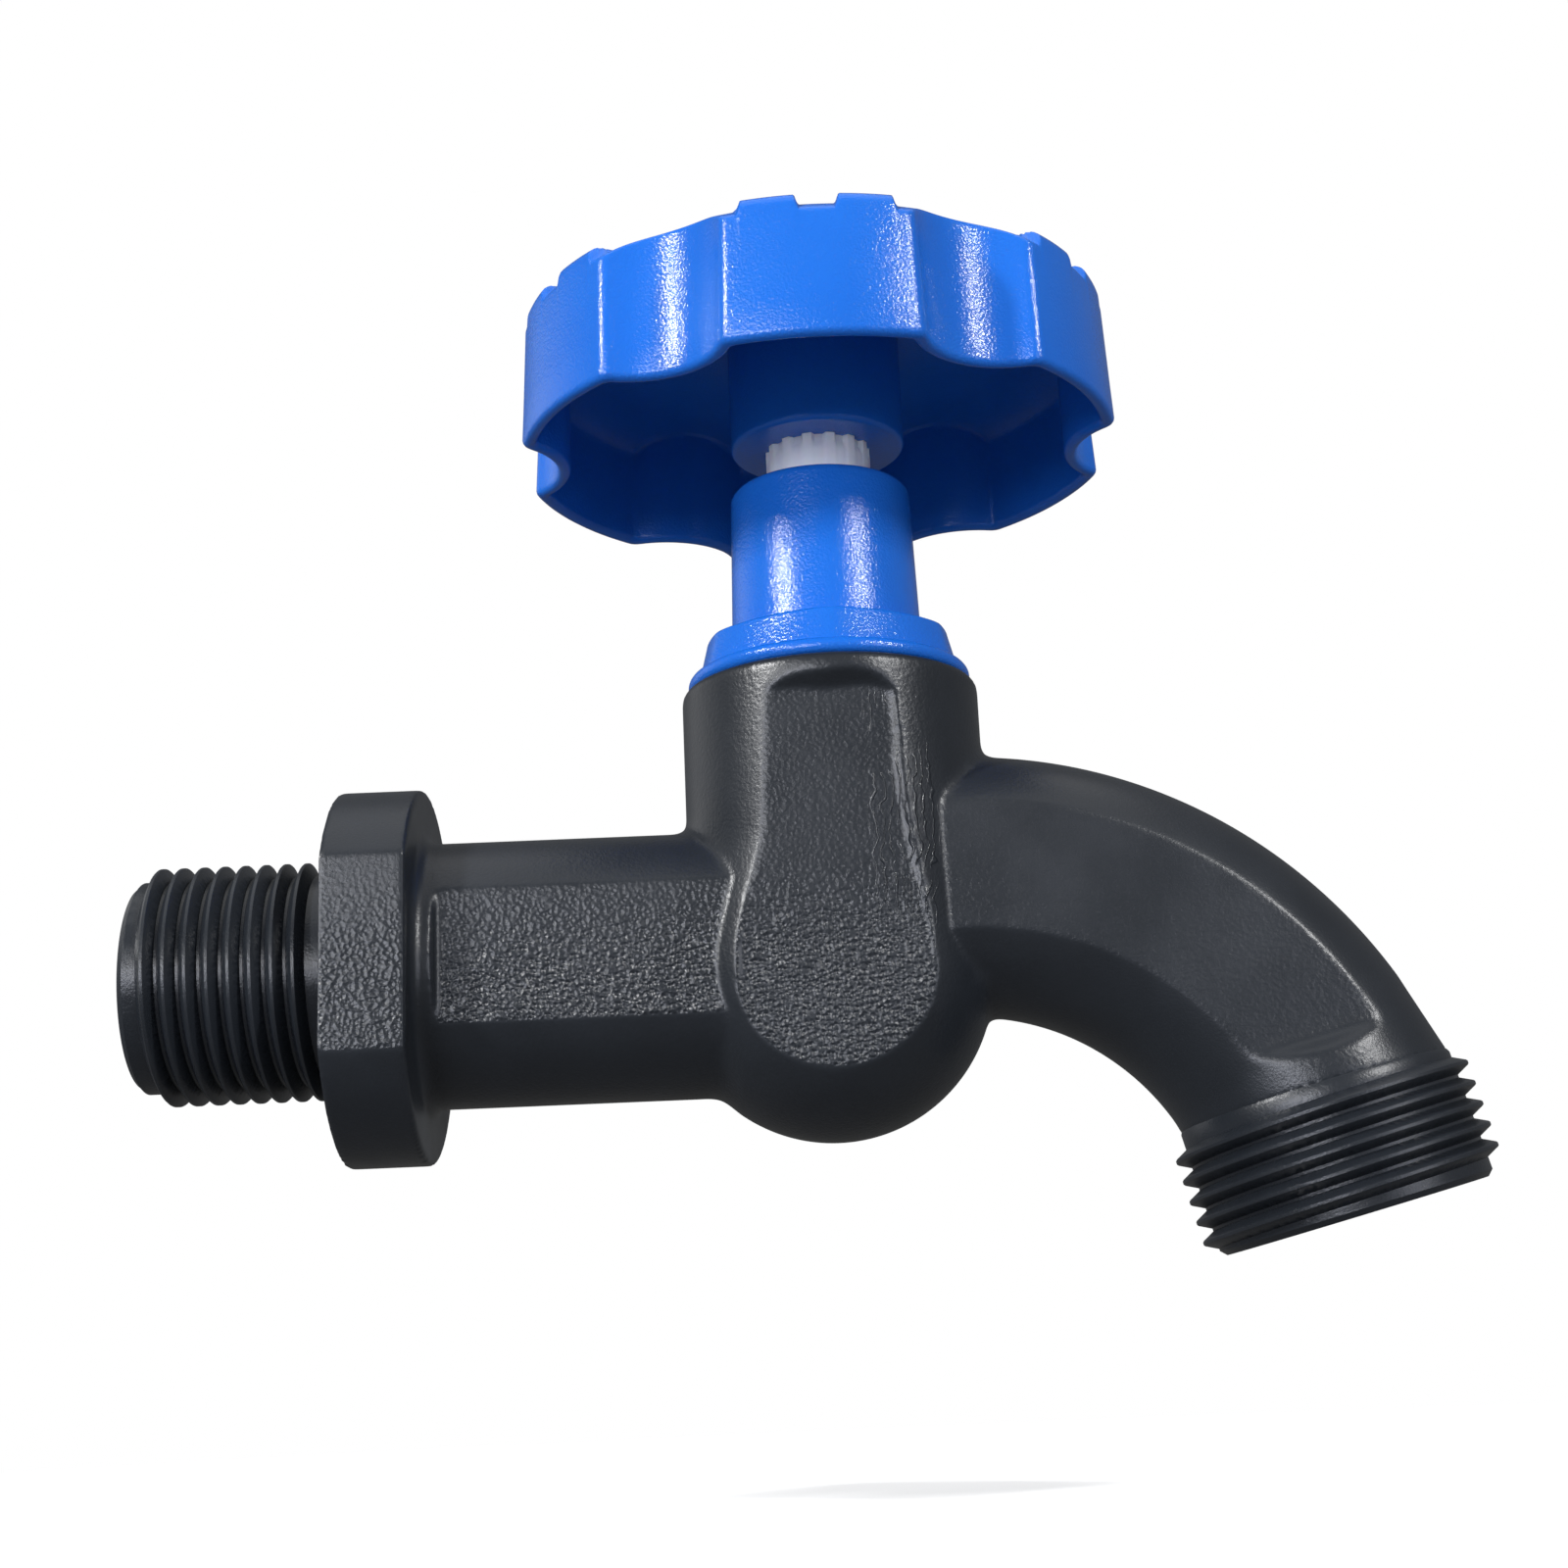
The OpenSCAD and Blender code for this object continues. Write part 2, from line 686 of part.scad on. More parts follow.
// Two tabs on the top of each lobe, with their inner ends in the crown
module lobe_tabs() {
    low = rim_top - web_t;
    intersection() {
        translate([0, 0, low]) linear_extrude(rim_top + tab_h - low) lobed_outline(tab_inset);
        for (k = [0 : lobes - 1])
            rotate(60 * k + 30)
                for (side = [-1, 1])
                    translate([rim_r - tab_reach, side * (tab_gap + tab_w) / 2 - tab_w / 2, low - cut])
                        cube([tab_reach + cut, tab_w, web_t + tab_h + 2 * cut]);
    }
}

module wheel_screw_washer() {
    color(steel)
        translate([chamber_x, 0, cap_floor_z])
            difference() {
                cylinder(d = wheel_screw_head_d + 2 * washer_rim, h = wheel_washer_t);
                translate([0, 0, -cut]) cylinder(d = wheel_screw_d + 2 * fit, h = wheel_washer_t + 2 * cut);
            }
}

module wheel_screw() {
    seat_z = cap_floor_z + wheel_washer_t;
    shank = seat_z - head_z + wheel_screw_len - cut;
    slot_w = 0.9;
    color(steel)
        translate([chamber_x, 0, seat_z])
            difference() {
                union() {
                    cylinder(d = wheel_screw_head_d, h = screw_head_h);
                    translate([0, 0, -shank]) cylinder(d = wheel_screw_d - 2 * running, h = shank);
                }
                for (turn = [0, 90])
                    rotate(turn)
                        translate([-wheel_screw_head_d / 3, -slot_w / 2, screw_head_h / 3])
                            cube([2 * wheel_screw_head_d / 3, slot_w, screw_head_h]);
            }
}

module wheel_cap() {
    color(tap_blue)
        translate([chamber_x, 0, cap_floor_z])
            difference() {
                cylinder(d = cap_d, h = wheel_top - cap_floor_z);
                translate([0, 0, -cut]) cylinder(d = cap_d - 2 * cap_wall, h = wheel_top - cap_floor_z - cap_t + cut);
            }
}

tap_body();
bonnet();
bonnet_o_ring();
spindle();
spindle_o_ring_lower();
spindle_o_ring_upper();
valve_plug();
valve_washer();
washer_screw();
handwheel();
wheel_screw_washer();
wheel_screw();
wheel_cap();
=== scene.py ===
import math
import bpy
import numpy as np
from mathutils import Matrix, Vector


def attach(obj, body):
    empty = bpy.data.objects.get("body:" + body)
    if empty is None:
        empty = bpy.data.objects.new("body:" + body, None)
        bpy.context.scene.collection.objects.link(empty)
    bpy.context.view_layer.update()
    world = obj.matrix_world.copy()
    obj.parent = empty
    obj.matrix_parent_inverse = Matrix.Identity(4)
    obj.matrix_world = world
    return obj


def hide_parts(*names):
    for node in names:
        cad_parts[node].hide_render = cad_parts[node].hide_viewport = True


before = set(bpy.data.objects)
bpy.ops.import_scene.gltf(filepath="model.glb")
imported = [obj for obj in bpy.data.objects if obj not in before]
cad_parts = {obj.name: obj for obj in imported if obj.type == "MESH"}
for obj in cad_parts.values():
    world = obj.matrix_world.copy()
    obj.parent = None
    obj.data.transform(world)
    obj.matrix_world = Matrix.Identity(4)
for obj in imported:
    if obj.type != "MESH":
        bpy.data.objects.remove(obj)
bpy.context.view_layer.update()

mm = 0.001


# Small tools

def only(obj):
    bpy.ops.object.select_all(action="DESELECT")
    obj.select_set(True)
    bpy.context.view_layer.objects.active = obj


def settle(name):
    # the primitive just added gets its name, and its place goes into its mesh
    obj = bpy.context.object
    obj.name = name
    obj.data.name = name
    bpy.ops.object.transform_apply(location=True, rotation=True, scale=True)
    return obj


def points(obj):
    co = np.empty(len(obj.data.vertices) * 3)
    obj.data.vertices.foreach_get("co", co)
    return co.reshape(-1, 3) / mm


def putPoints(obj, co):
    obj.data.vertices.foreach_set("co", (np.asarray(co, float) * mm).ravel())
    obj.data.update()


def pick(obj, mask):
    # leaves only the masked points selected, with edit mode open on them
    only(obj)
    mesh = obj.data
    mesh.polygons.foreach_set("select", np.zeros(len(mesh.polygons), bool))
    mesh.edges.foreach_set("select", np.zeros(len(mesh.edges), bool))
    mesh.vertices.foreach_set("select", np.asarray(mask, bool))
    bpy.context.tool_settings.mesh_select_mode = (True, False, False)
    bpy.ops.object.mode_set(mode="EDIT")


def closeEdit():
    bpy.ops.object.mode_set(mode="OBJECT")


def finish(obj, kind, **settings):
    only(obj)
    step = obj.modifiers.new(kind.lower(), kind)
    for key, value in settings.items():
        setattr(step, key, value)
    bpy.ops.object.modifier_apply(modifier=step.name)


def combine(obj, tool, how="DIFFERENCE"):
    finish(obj, "BOOLEAN", object=tool, operation=how, solver="MANIFOLD")
    bpy.data.objects.remove(tool, do_unlink=True)


def rod(name, radius, start, end, sides=96, endRadius=None):
    start, end = Vector(start) * mm, Vector(end) * mm
    axis = end - start
    bpy.ops.mesh.primitive_cone_add(vertices=sides, radius1=radius * mm, depth=axis.length,
                                    radius2=(radius if endRadius is None else endRadius) * mm,
                                    location=(start + end) / 2, rotation=axis.to_track_quat("Z", "Y").to_euler())
    return settle(name)


def block(name, low, high):
    low, high = Vector(low) * mm, Vector(high) * mm
    bpy.ops.mesh.primitive_cube_add(size=1, location=(low + high) / 2, scale=high - low)
    return settle(name)


def skin(name, rings):
    # a grid primitive wrapped over rings of points; a ring of one point closes an end
    rings = np.asarray(rings, float)
    rows, around = rings.shape[:2]
    bpy.ops.mesh.primitive_grid_add(x_subdivisions=around, y_subdivisions=rows - 1, size=mm)
    obj = settle(name)
    wrapped = np.concatenate([rings, rings[:, :1]], axis=1)
    putPoints(obj, wrapped.reshape(-1, 3))
    pick(obj, np.ones(len(obj.data.vertices), bool))
    bpy.ops.mesh.remove_doubles(threshold=0.002 * mm)
    bpy.ops.mesh.normals_make_consistent(inside=False)
    closeEdit()
    return obj


def circleRing(radius, z, centre, around=128):
    a = np.linspace(0, 2 * math.pi, around, endpoint=False)
    return np.stack([centre[0] + radius * np.cos(a), centre[1] + radius * np.sin(a), np.full(around, z)], axis=1)


def turned(name, profile, centre, around=128):
    return skin(name, [circleRing(r, z, centre, around) for r, z in profile])


def arc(cx, cz, radius, first, last, count):
    a = np.radians(np.linspace(first, last, count))
    return [(cx + radius * math.cos(t), cz + radius * math.sin(t)) for t in a]


def ridge(name, root, crest, pitch, crestWidth, flank, first, turns, around=96, fade=0.3):
    # one helical thread on the Z axis: a closed profile, the Screw modifier, and ends that run out
    depth = crest - root
    halfTop = crestWidth / 2
    halfBase = halfTop + depth * math.tan(math.radians(flank))
    profile = [(root - 0.4, -halfBase - 0.02), (root, -halfBase), (crest - 0.1, -halfTop - 0.05), (crest, -halfTop + 0.06),
               (crest, halfTop - 0.06), (crest - 0.1, halfTop + 0.05), (root, halfBase), (root - 0.4, halfBase + 0.02)]
    bpy.ops.mesh.primitive_circle_add(vertices=len(profile), radius=mm, fill_type="NOTHING")
    obj = settle(name)
    putPoints(obj, [(r, 0, z + first) for r, z in profile])
    finish(obj, "SCREW", axis="Z", angle=2 * math.pi * turns, screw_offset=pitch * turns * mm, iterations=1,
           steps=int(around * turns), render_steps=int(around * turns), use_merge_vertices=False)
    co = points(obj)
    rings = co.reshape(-1, len(profile), 3)
    t = np.linspace(0, turns, len(rings))
    lift = np.clip(np.minimum(t, turns - t) / fade, 0, 1)[:, None]
    lift = lift * lift * (3 - 2 * lift)
    radius = np.hypot(rings[..., 0], rings[..., 1])
    base = root - 0.3
    wanted = np.where(radius > base, base + (radius - base) * (0.02 + 0.98 * lift), radius)
    rings[..., :2] *= (wanted / radius)[..., None]
    putPoints(obj, rings.reshape(-1, 3))
    pick(obj, np.ones(len(co), bool))
    bpy.ops.mesh.fill_holes(sides=0)
    bpy.ops.mesh.normals_make_consistent(inside=False)
    closeEdit()
    return obj


def place(obj, matrix):
    obj.matrix_world = matrix
    only(obj)
    bpy.ops.object.transform_apply(location=True, rotation=True, scale=True)
    return obj


def smoothShade(obj, angle=30):
    only(obj)
    bpy.ops.object.shade_smooth_by_angle(angle=math.radians(angle))


# Camera and room

view = {
    "place": (0.036574, -0.200, -0.035069),
    "yaw": 0.012692,
    "pitch": 0.251334,
    "roll": -0.043490,
    "focal": 2335.2,     # in pixels of the 1600 pixel photograph
    "photo": 1600,
    "sensor": 36,
}


def makeCamera():
    f = Vector((math.sin(view["yaw"]) * math.cos(view["pitch"]), math.cos(view["yaw"]) * math.cos(view["pitch"]),
                math.sin(view["pitch"])))
    right = Vector((math.cos(view["yaw"]), -math.sin(view["yaw"]), 0))
    up = right.cross(f)
    c, s = math.cos(view["roll"]), math.sin(view["roll"])
    x, y = right * c + up * s, up * c - right * s
    bpy.ops.object.camera_add()
    camera = bpy.context.object
    camera.name = "photoCamera"
    camera.matrix_world = Matrix.Translation(view["place"]) @ Matrix((x, y, -f)).transposed().to_4x4()
    camera.data.sensor_width = view["sensor"]
    camera.data.lens = view["focal"] * view["sensor"] / view["photo"]
    camera.data.clip_start = 0.005
    bpy.context.scene.camera = camera


makeCamera()
print("camera set")


# Materials

def colour(code):
    # sRGB hex to the linear colour that a shader takes
    parts = [int(code[i:i + 2], 16) / 255 for i in (1, 3, 5)]
    return tuple(p / 12.92 if p <= 0.04045 else ((p + 0.055) / 1.055) ** 2.4 for p in parts) + (1,)


def blank(name):
    material = bpy.data.materials.new(name)
    material.use_nodes = True
    material.node_tree.nodes.clear()
    return material


def add(tree, kind, links=None, **settings):
    # adds one node; links maps a socket to a value or to another node's output
    node = tree.nodes.new(kind)
    for key, value in settings.items():
        setattr(node, key, value)
    for key, value in (links or {}).items():
        if isinstance(value, bpy.types.NodeSocket):
            tree.links.new(value, node.inputs[key])
        else:
            node.inputs[key].default_value = value
    return node


def perMetre(sizeMm):
    # texture scale at which one cell is about this many millimetres
    return 1 / (sizeMm * mm)


def bands(sizeMm):
    # wave texture scale at which one band is this many millimetres
    return 2 * math.pi / 20 * perMetre(sizeMm)


def between(tree, value, low, high, first=0.0, last=1.0):
    # a smooth step from first to last while the value goes from low to high
    return add(tree, "ShaderNodeMapRange", {"Value": value, "From Min": low, "From Max": high, "To Min": first,
                                            "To Max": last}, interpolation_type="SMOOTHSTEP").outputs["Result"]


def maths(tree, operation, *values):
    return add(tree, "ShaderNodeMath", dict(enumerate(values)), operation=operation).outputs["Value"]


def mouldedBlack():
    # glass-filled nylon, moulded: slate black and dull, with a leathery spark-eroded grain on the flats,
    # a finer one on the rounds, and faint flow lines on the face panels where the melt met
    material = blank("moulded black nylon")
    tree = material.node_tree
    coords = add(tree, "ShaderNodeTexCoord")
    spot = coords.outputs["Object"]
    facing = add(tree, "ShaderNodeSeparateXYZ", {"Vector": coords.outputs["Normal"]}).outputs["Y"]
    place = add(tree, "ShaderNodeSeparateXYZ", {"Vector": spot})
    x, z = place.outputs["X"], place.outputs["Z"]
    threads = maths(tree, "MAXIMUM", between(tree, x, 0, -1 * mm),
                    between(tree, z, (outletStart[2] + 2) * mm, outletStart[2] * mm))
    bare = maths(tree, "MAXIMUM", maths(tree, "MULTIPLY", between(tree, x, 7 * mm, 7.3 * mm),
                                        between(tree, x, 9.3 * mm, 9 * mm)),
                 between(tree, z, (tap["panelTop"] + 0.1) * mm, (tap["panelTop"] + 0.4) * mm))
    flats = maths(tree, "MULTIPLY", between(tree, maths(tree, "ABSOLUTE", facing), 0.95, 0.99),
                  maths(tree, "SUBTRACT", 1.0, maths(tree, "MAXIMUM", threads, bare)))
    coarse = maths(tree, "MULTIPLY", between(tree, x, (axisX + 7) * mm, (axisX + 10) * mm, 1, 0.12),
                   between(tree, z, 8 * mm, -3 * mm, 0.1, 1))
    onFlange = between(tree, x, 7.5 * mm, 7 * mm, 1, 0.6)
    leathery = maths(tree, "MULTIPLY", flats, maths(tree, "MULTIPLY", coarse, onFlange))
    rounds = maths(tree, "MULTIPLY", between(tree, x, 8 * mm, 10 * mm), between(tree, x, (axisX + 22) * mm, (axisX + 8) * mm))
    fine = add(tree, "ShaderNodeTexNoise", {"Vector": spot, "Scale": perMetre(0.2), "Detail": 2, "Roughness": 0.6})
    bend = add(tree, "ShaderNodeTexNoise", {"Vector": spot, "Scale": perMetre(1.1), "Detail": 2})
    shifted = add(tree, "ShaderNodeVectorMath", {0: bend.outputs["Color"], 1: (0.0004, 0.0004, 0.0004)},
                  operation="MULTIPLY")
    wound = add(tree, "ShaderNodeVectorMath", {0: spot, 1: shifted.outputs["Vector"]}, operation="ADD")
    cells = add(tree, "ShaderNodeTexVoronoi", {"Vector": wound.outputs["Vector"], "Scale": perMetre(0.4),
                                               "Smoothness": 0.5}, feature="SMOOTH_F1")
    broad = add(tree, "ShaderNodeTexNoise", {"Vector": spot, "Scale": perMetre(9), "Detail": 3, "Roughness": 0.55})
    waves = add(tree, "ShaderNodeTexWave", {"Vector": spot, "Scale": bands(0.7), "Distortion": 8, "Detail": 1.5,
                                            "Detail Scale": 1.1}, bands_direction="X")
    crests = between(tree, waves.outputs["Fac"], 0.8, 1.0)
    meeting = maths(tree, "MULTIPLY", between(tree, x, (axisX + 2.2) * mm, (axisX + 3.4) * mm),
                    between(tree, x, (axisX + 8.6) * mm, (axisX + 7.4) * mm))
    strip = maths(tree, "MULTIPLY", meeting, maths(tree, "MULTIPLY", between(tree, z, 0, 5 * mm),
                                                   between(tree, z, 22 * mm, 19 * mm)))
    flow = maths(tree, "MULTIPLY", crests, maths(tree, "MULTIPLY", strip, between(tree, broad.outputs["Fac"], 0.38, 0.46)))
    tint = add(tree, "ShaderNodeMix", {"Factor": broad.outputs["Fac"], 6: colour("#1b1e22"), 7: colour("#24282e")},
               data_type="RGBA")
    dull = maths(tree, "MULTIPLY_ADD", threads, -0.03, between(tree, broad.outputs["Fac"], 0.3, 0.7, 0.3, 0.37))
    leather = add(tree, "ShaderNodeBump", {"Strength": maths(tree, "MULTIPLY_ADD", leathery, 0.8, maths(tree, "MULTIPLY_ADD", rounds, 0.05, 0.03)),
                                           "Distance": 0.24 * mm, "Height": cells.outputs["Distance"]})
    grain = add(tree, "ShaderNodeBump", {"Strength": 0.45, "Distance": 0.05 * mm, "Height": fine.outputs["Fac"],
                                         "Normal": leather.outputs["Normal"]})
    lines = add(tree, "ShaderNodeBump", {"Strength": 1.0, "Distance": 0.13 * mm, "Height": flow,
                                         "Normal": grain.outputs["Normal"]})
    shader = add(tree, "ShaderNodeBsdfPrincipled", {"Base Color": tint.outputs[2], "Roughness": dull, "IOR": 1.5,
                                                    "Normal": lines.outputs["Normal"]})
    add(tree, "ShaderNodeOutputMaterial", {"Surface": shader.outputs["BSDF"]})
    return material


def mouldedBlue():
    # polypropylene, moulded: clear blue, half glossy, with a very fine sparkle
    material = blank("moulded blue polypropylene")
    tree = material.node_tree
    spot = add(tree, "ShaderNodeTexCoord").outputs["Object"]
    grain = add(tree, "ShaderNodeTexNoise", {"Vector": spot, "Scale": perMetre(0.24), "Detail": 2, "Roughness": 0.5})
    broad = add(tree, "ShaderNodeTexNoise", {"Vector": spot, "Scale": perMetre(9), "Detail": 2})
    tint = add(tree, "ShaderNodeMix", {"Factor": broad.outputs["Fac"], 6: colour("#165fc0"), 7: colour("#2069ca")},
               data_type="RGBA")
    bump = add(tree, "ShaderNodeBump", {"Strength": 1, "Distance": 0.055 * mm, "Height": grain.outputs["Fac"]})
    shader = add(tree, "ShaderNodeBsdfPrincipled", {"Base Color": tint.outputs[2], "Roughness": 0.17, "IOR": 1.49,
                                                    "Subsurface Weight": 0.06, "Subsurface Scale": 0.6 * mm,
                                                    "Normal": bump.outputs["Normal"]})
    add(tree, "ShaderNodeOutputMaterial", {"Surface": shader.outputs["BSDF"]})
    return material


def mouldedWhite():
    # acetal, moulded: cool white, slightly clear
    material = blank("moulded white acetal")
    tree = material.node_tree
    spot = add(tree, "ShaderNodeTexCoord").outputs["Object"]
    grain = add(tree, "ShaderNodeTexNoise", {"Vector": spot, "Scale": perMetre(0.6), "Detail": 2})
    tint = add(tree, "ShaderNodeMix", {"Factor": grain.outputs["Fac"], 6: colour("#eceff4"), 7: colour("#f6f7f9")},
               data_type="RGBA")
    bump = add(tree, "ShaderNodeBump", {"Strength": 0.3, "Distance": 0.03 * mm, "Height": grain.outputs["Fac"]})
    shader = add(tree, "ShaderNodeBsdfPrincipled", {"Base Color": tint.outputs[2], "Roughness": 0.42, "IOR": 1.48,
                                                    "Subsurface Weight": 0.2, "Subsurface Scale": 1.2 * mm,
                                                    "Normal": bump.outputs["Normal"]})
    add(tree, "ShaderNodeOutputMaterial", {"Surface": shader.outputs["BSDF"]})
    return material


def sealRubber():
    # nitrile rubber, moulded: soft black with a faint bloom
    material = blank("moulded nitrile rubber")
    tree = material.node_tree
    spot = add(tree, "ShaderNodeTexCoord").outputs["Object"]
    bloom = add(tree, "ShaderNodeTexNoise", {"Vector": spot, "Scale": perMetre(1.5), "Detail": 4})
    tint = add(tree, "ShaderNodeMix", {"Factor": bloom.outputs["Fac"], 6: colour("#161616"), 7: colour("#232323")},
               data_type="RGBA")
    bump = add(tree, "ShaderNodeBump", {"Strength": 0.3, "Distance": 0.02 * mm, "Height": bloom.outputs["Fac"]})
    shader = add(tree, "ShaderNodeBsdfPrincipled", {"Base Color": tint.outputs[2], "Roughness": 0.65, "IOR": 1.52,
                                                    "Normal": bump.outputs["Normal"]})
    add(tree, "ShaderNodeOutputMaterial", {"Surface": shader.outputs["BSDF"]})
    return material


def turnedMetal(name, dark, light, rough):
    # turned on a lathe: fine rings round the axis and a little wear
    material = blank(name)
    tree = material.node_tree
    spot = add(tree, "ShaderNodeTexCoord").outputs["Object"]
    centred = add(tree, "ShaderNodeMapping", {"Vector": spot, "Location": (-tap["chamberX"] * mm, 0, 0)})
    rings = add(tree, "ShaderNodeTexWave", {"Vector": centred.outputs["Vector"], "Scale": bands(0.3),
                                            "Distortion": 0.5}, wave_type="RINGS", rings_direction="Z")
    wear = add(tree, "ShaderNodeTexNoise", {"Vector": spot, "Scale": perMetre(2), "Detail": 4})
    tint = add(tree, "ShaderNodeMix", {"Factor": wear.outputs["Fac"], 6: colour(dark), 7: colour(light)},
               data_type="RGBA")
    bump = add(tree, "ShaderNodeBump", {"Strength": 0.2, "Distance": 0.01 * mm, "Height": rings.outputs["Fac"]})
    shader = add(tree, "ShaderNodeBsdfPrincipled", {"Base Color": tint.outputs[2], "Roughness": rough, "Metallic": 1,
                                                    "Normal": bump.outputs["Normal"]})
    add(tree, "ShaderNodeOutputMaterial", {"Surface": shader.outputs["BSDF"]})
    return material


# Body of the tap

tap = {
    "chamberX": 43.6, "chamberRadius": 13.4, "chamberTop": 24.6, "mouthEdge": 0.7,
    "footRadius": 14.2, "footDrop": 1.8, "footShift": 1, "footBlend": 10,
    "pipeRadius": 11.7, "pipeFlat": 10.2, "flatStart": 9.0,
    "flangeRadius": 16.5, "flangeLength": 7.2, "flangeFlat": 14.3,
    "panelDepth": 11.3, "panelTilt": 2, "panelShift": 0.85, "panelTop": 21.5, "panelWall": 0.6, "panelRoof": 1.1, "panelReach": 5,
    "panelSide": ((0, 21.5), (4.6, 21.5), (5.5, 21.1), (5.72, 20.2), (5.95, 13.5), (6.75, 7.6), (7.5, 3), (8.05, -0.8),
                  (7.8, -5.2), (6.4, -8.4), (4.1, -10.7)), "panelFoot": -11.6,
    "spoutRise": 6.1, "bendX": 10.7, "bendRadius": 32.4, "spoutRadius": 11.6, "bendAngle": 67.4, "outletTilt": 14,
    "spoutEnd": 4.3, "endSlope": 0.9, "neckTurn": 8, "flangeFillet": 1.1,
    "inletCrest": 10.4775, "outletCrest": 13.2205, "threadDepth": 1.162, "threadPitch": 1.814, "crestWidth": 0.36,
    "flank": 27.5, "inletLength": 18, "inletFirst": 1.52, "inletTurns": 8.3,
    "outletLength": 10.6, "outletFirst": 0.45, "outletTurns": 5.2, "endChamfer": 0.5,
    "inletBore": 6.5, "outletBore": 9.3, "spoutBore": 7, "boreBendRadius": 33.81,
    "valveRoom": 9.2, "roomWall": 1.8, "footRoom": 8.7, "seatWall": 1.6, "seatHole": 4.5, "seatLip": 5.7, "seatTop": 1,
    "skirtRoom": 10.15, "skirtRoomLow": 15.2, "sealRoom": 11.35, "sealRoomLow": 23.2,
    "voxel": 0.26, "keep": 0.44, "filletReach": 1.3,
}
axisX = tap["chamberX"]
bendCentre = (axisX + tap["bendX"], 0, tap["spoutRise"] - tap["bendRadius"])
outletStart = (bendCentre[0] + tap["bendRadius"] * math.cos(math.radians(90 - tap["bendAngle"])), 0,
               bendCentre[2] + tap["bendRadius"] * math.sin(math.radians(90 - tap["bendAngle"])))
outletAxis = (math.sin(math.radians(tap["outletTilt"])), 0, -math.cos(math.radians(tap["outletTilt"])))


def alongOutlet(s):
    return tuple(p + s * a for p, a in zip(outletStart, outletAxis))


def atOutlet():
    turn = Vector(outletAxis).to_track_quat("Z", "Y").to_matrix().to_4x4()
    return Matrix.Translation(Vector(outletStart) * mm) @ turn


def bentBar(name, bendRadius, radius, angle, sides=96, steps=64):
    # a disc at the top of the bend, spun down to its lower end
    bpy.ops.mesh.primitive_circle_add(vertices=sides, radius=radius * mm, fill_type="NGON",
                                      location=Vector((bendCentre[0], 0, bendCentre[2] + bendRadius)) * mm,
                                      rotation=(0, math.pi / 2, 0))
    obj = settle(name)
    pick(obj, np.ones(len(obj.data.vertices), bool))
    bpy.ops.mesh.spin(steps=steps, angle=-math.radians(angle), center=Vector(bendCentre) * mm, axis=(0, 1, 0))
    bpy.ops.mesh.select_all(action="SELECT")
    bpy.ops.mesh.fill_holes(sides=0)
    bpy.ops.mesh.normals_make_consistent(inside=False)
    closeEdit()
    return obj


def flatCutter(side):
    # the space outside one flat of the pipe and the spout, cut off square to the outlet
    low, high = (-60, -tap["pipeFlat"]) if side < 0 else (tap["pipeFlat"], 60)
    tool = block("flatCutter", (tap["flatStart"], low, -60), (110, high, 60))
    pick(tool, np.ones(8, bool))
    end = Vector(alongOutlet(-tap["spoutEnd"])) + Vector((0, side * tap["pipeFlat"], 0))
    bpy.ops.mesh.bisect(plane_co=end * mm, plane_no=Vector(outletAxis) - Vector((0, side * tap["endSlope"], 0)),
                        use_fill=True, clear_outer=True)
    closeEdit()
    return tool


def smoothLine(knots, count):
    # a smooth curve through the knots
    knots = np.array(knots, float)
    t = np.concatenate([[0], np.cumsum(np.hypot(*np.diff(knots, axis=0).T))])
    slope = np.gradient(knots, t, axis=0)
    u = np.linspace(0, t[-1], count)
    i = np.clip(np.searchsorted(t, u) - 1, 0, len(t) - 2)
    h = (t[i + 1] - t[i])[:, None]
    v = (u - t[i])[:, None] / h
    return ((2 * v ** 3 - 3 * v ** 2 + 1) * knots[i] + (v ** 3 - 2 * v ** 2 + v) * h * slope[i]
            + (3 * v ** 2 - 2 * v ** 3) * knots[i + 1] + (v ** 3 - v ** 2) * h * slope[i + 1])


def panelCutter(side):
    # the space in front of a face panel: a pear-shaped recess with sloping walls, the steepest at its top
    right = list(tap["panelSide"])
    left = [(-x, z) for x, z in right[::-1]]
    line = smoothLine(right + [(0, tap["panelFoot"])] + left, 181)[:-1]
    run = np.roll(line, -1, axis=0) - np.roll(line, 1, axis=0)
    out = np.stack([-run[:, 1], run[:, 0]], axis=1) / np.hypot(run[:, 0], run[:, 1])[:, None]
    roof = np.clip((line[:, 1] - 19) / 1.5, 0, 1)[:, None]
    reach = tap["panelReach"]
    wide = line + out * reach * (tap["panelWall"] + (tap["panelRoof"] - tap["panelWall"]) * roof)
    rings = [np.column_stack([ring[:, 0], np.full(len(ring), y), ring[:, 1]])
             for ring, y in ((line * 0 + [0, 5], 0), (line, 0), (wide, -reach), (line * 0 + [0, 5], -reach))]
    tool = skin("panelCutter", rings)
    front = Matrix.Translation(Vector((0, -tap["panelDepth"], 0)) * mm) @ Matrix.Rotation(
        math.radians(tap["panelTilt"]), 4, "X")
    spin = Matrix.Rotation(math.pi if side > 0 else 0, 4, "Z")
    return place(tool, Matrix.Translation(((axisX - tap["panelShift"]) * mm, 0, 0)) @ spin @ front)


def eased(z):
    # 0 on the straight side of the chamber, 1 at the middle of its foot
    t = np.clip((tap["footBlend"] - z) / (tap["footBlend"] + tap["footDrop"]), 0, 1)
    return t * t * (3 - 2 * t)


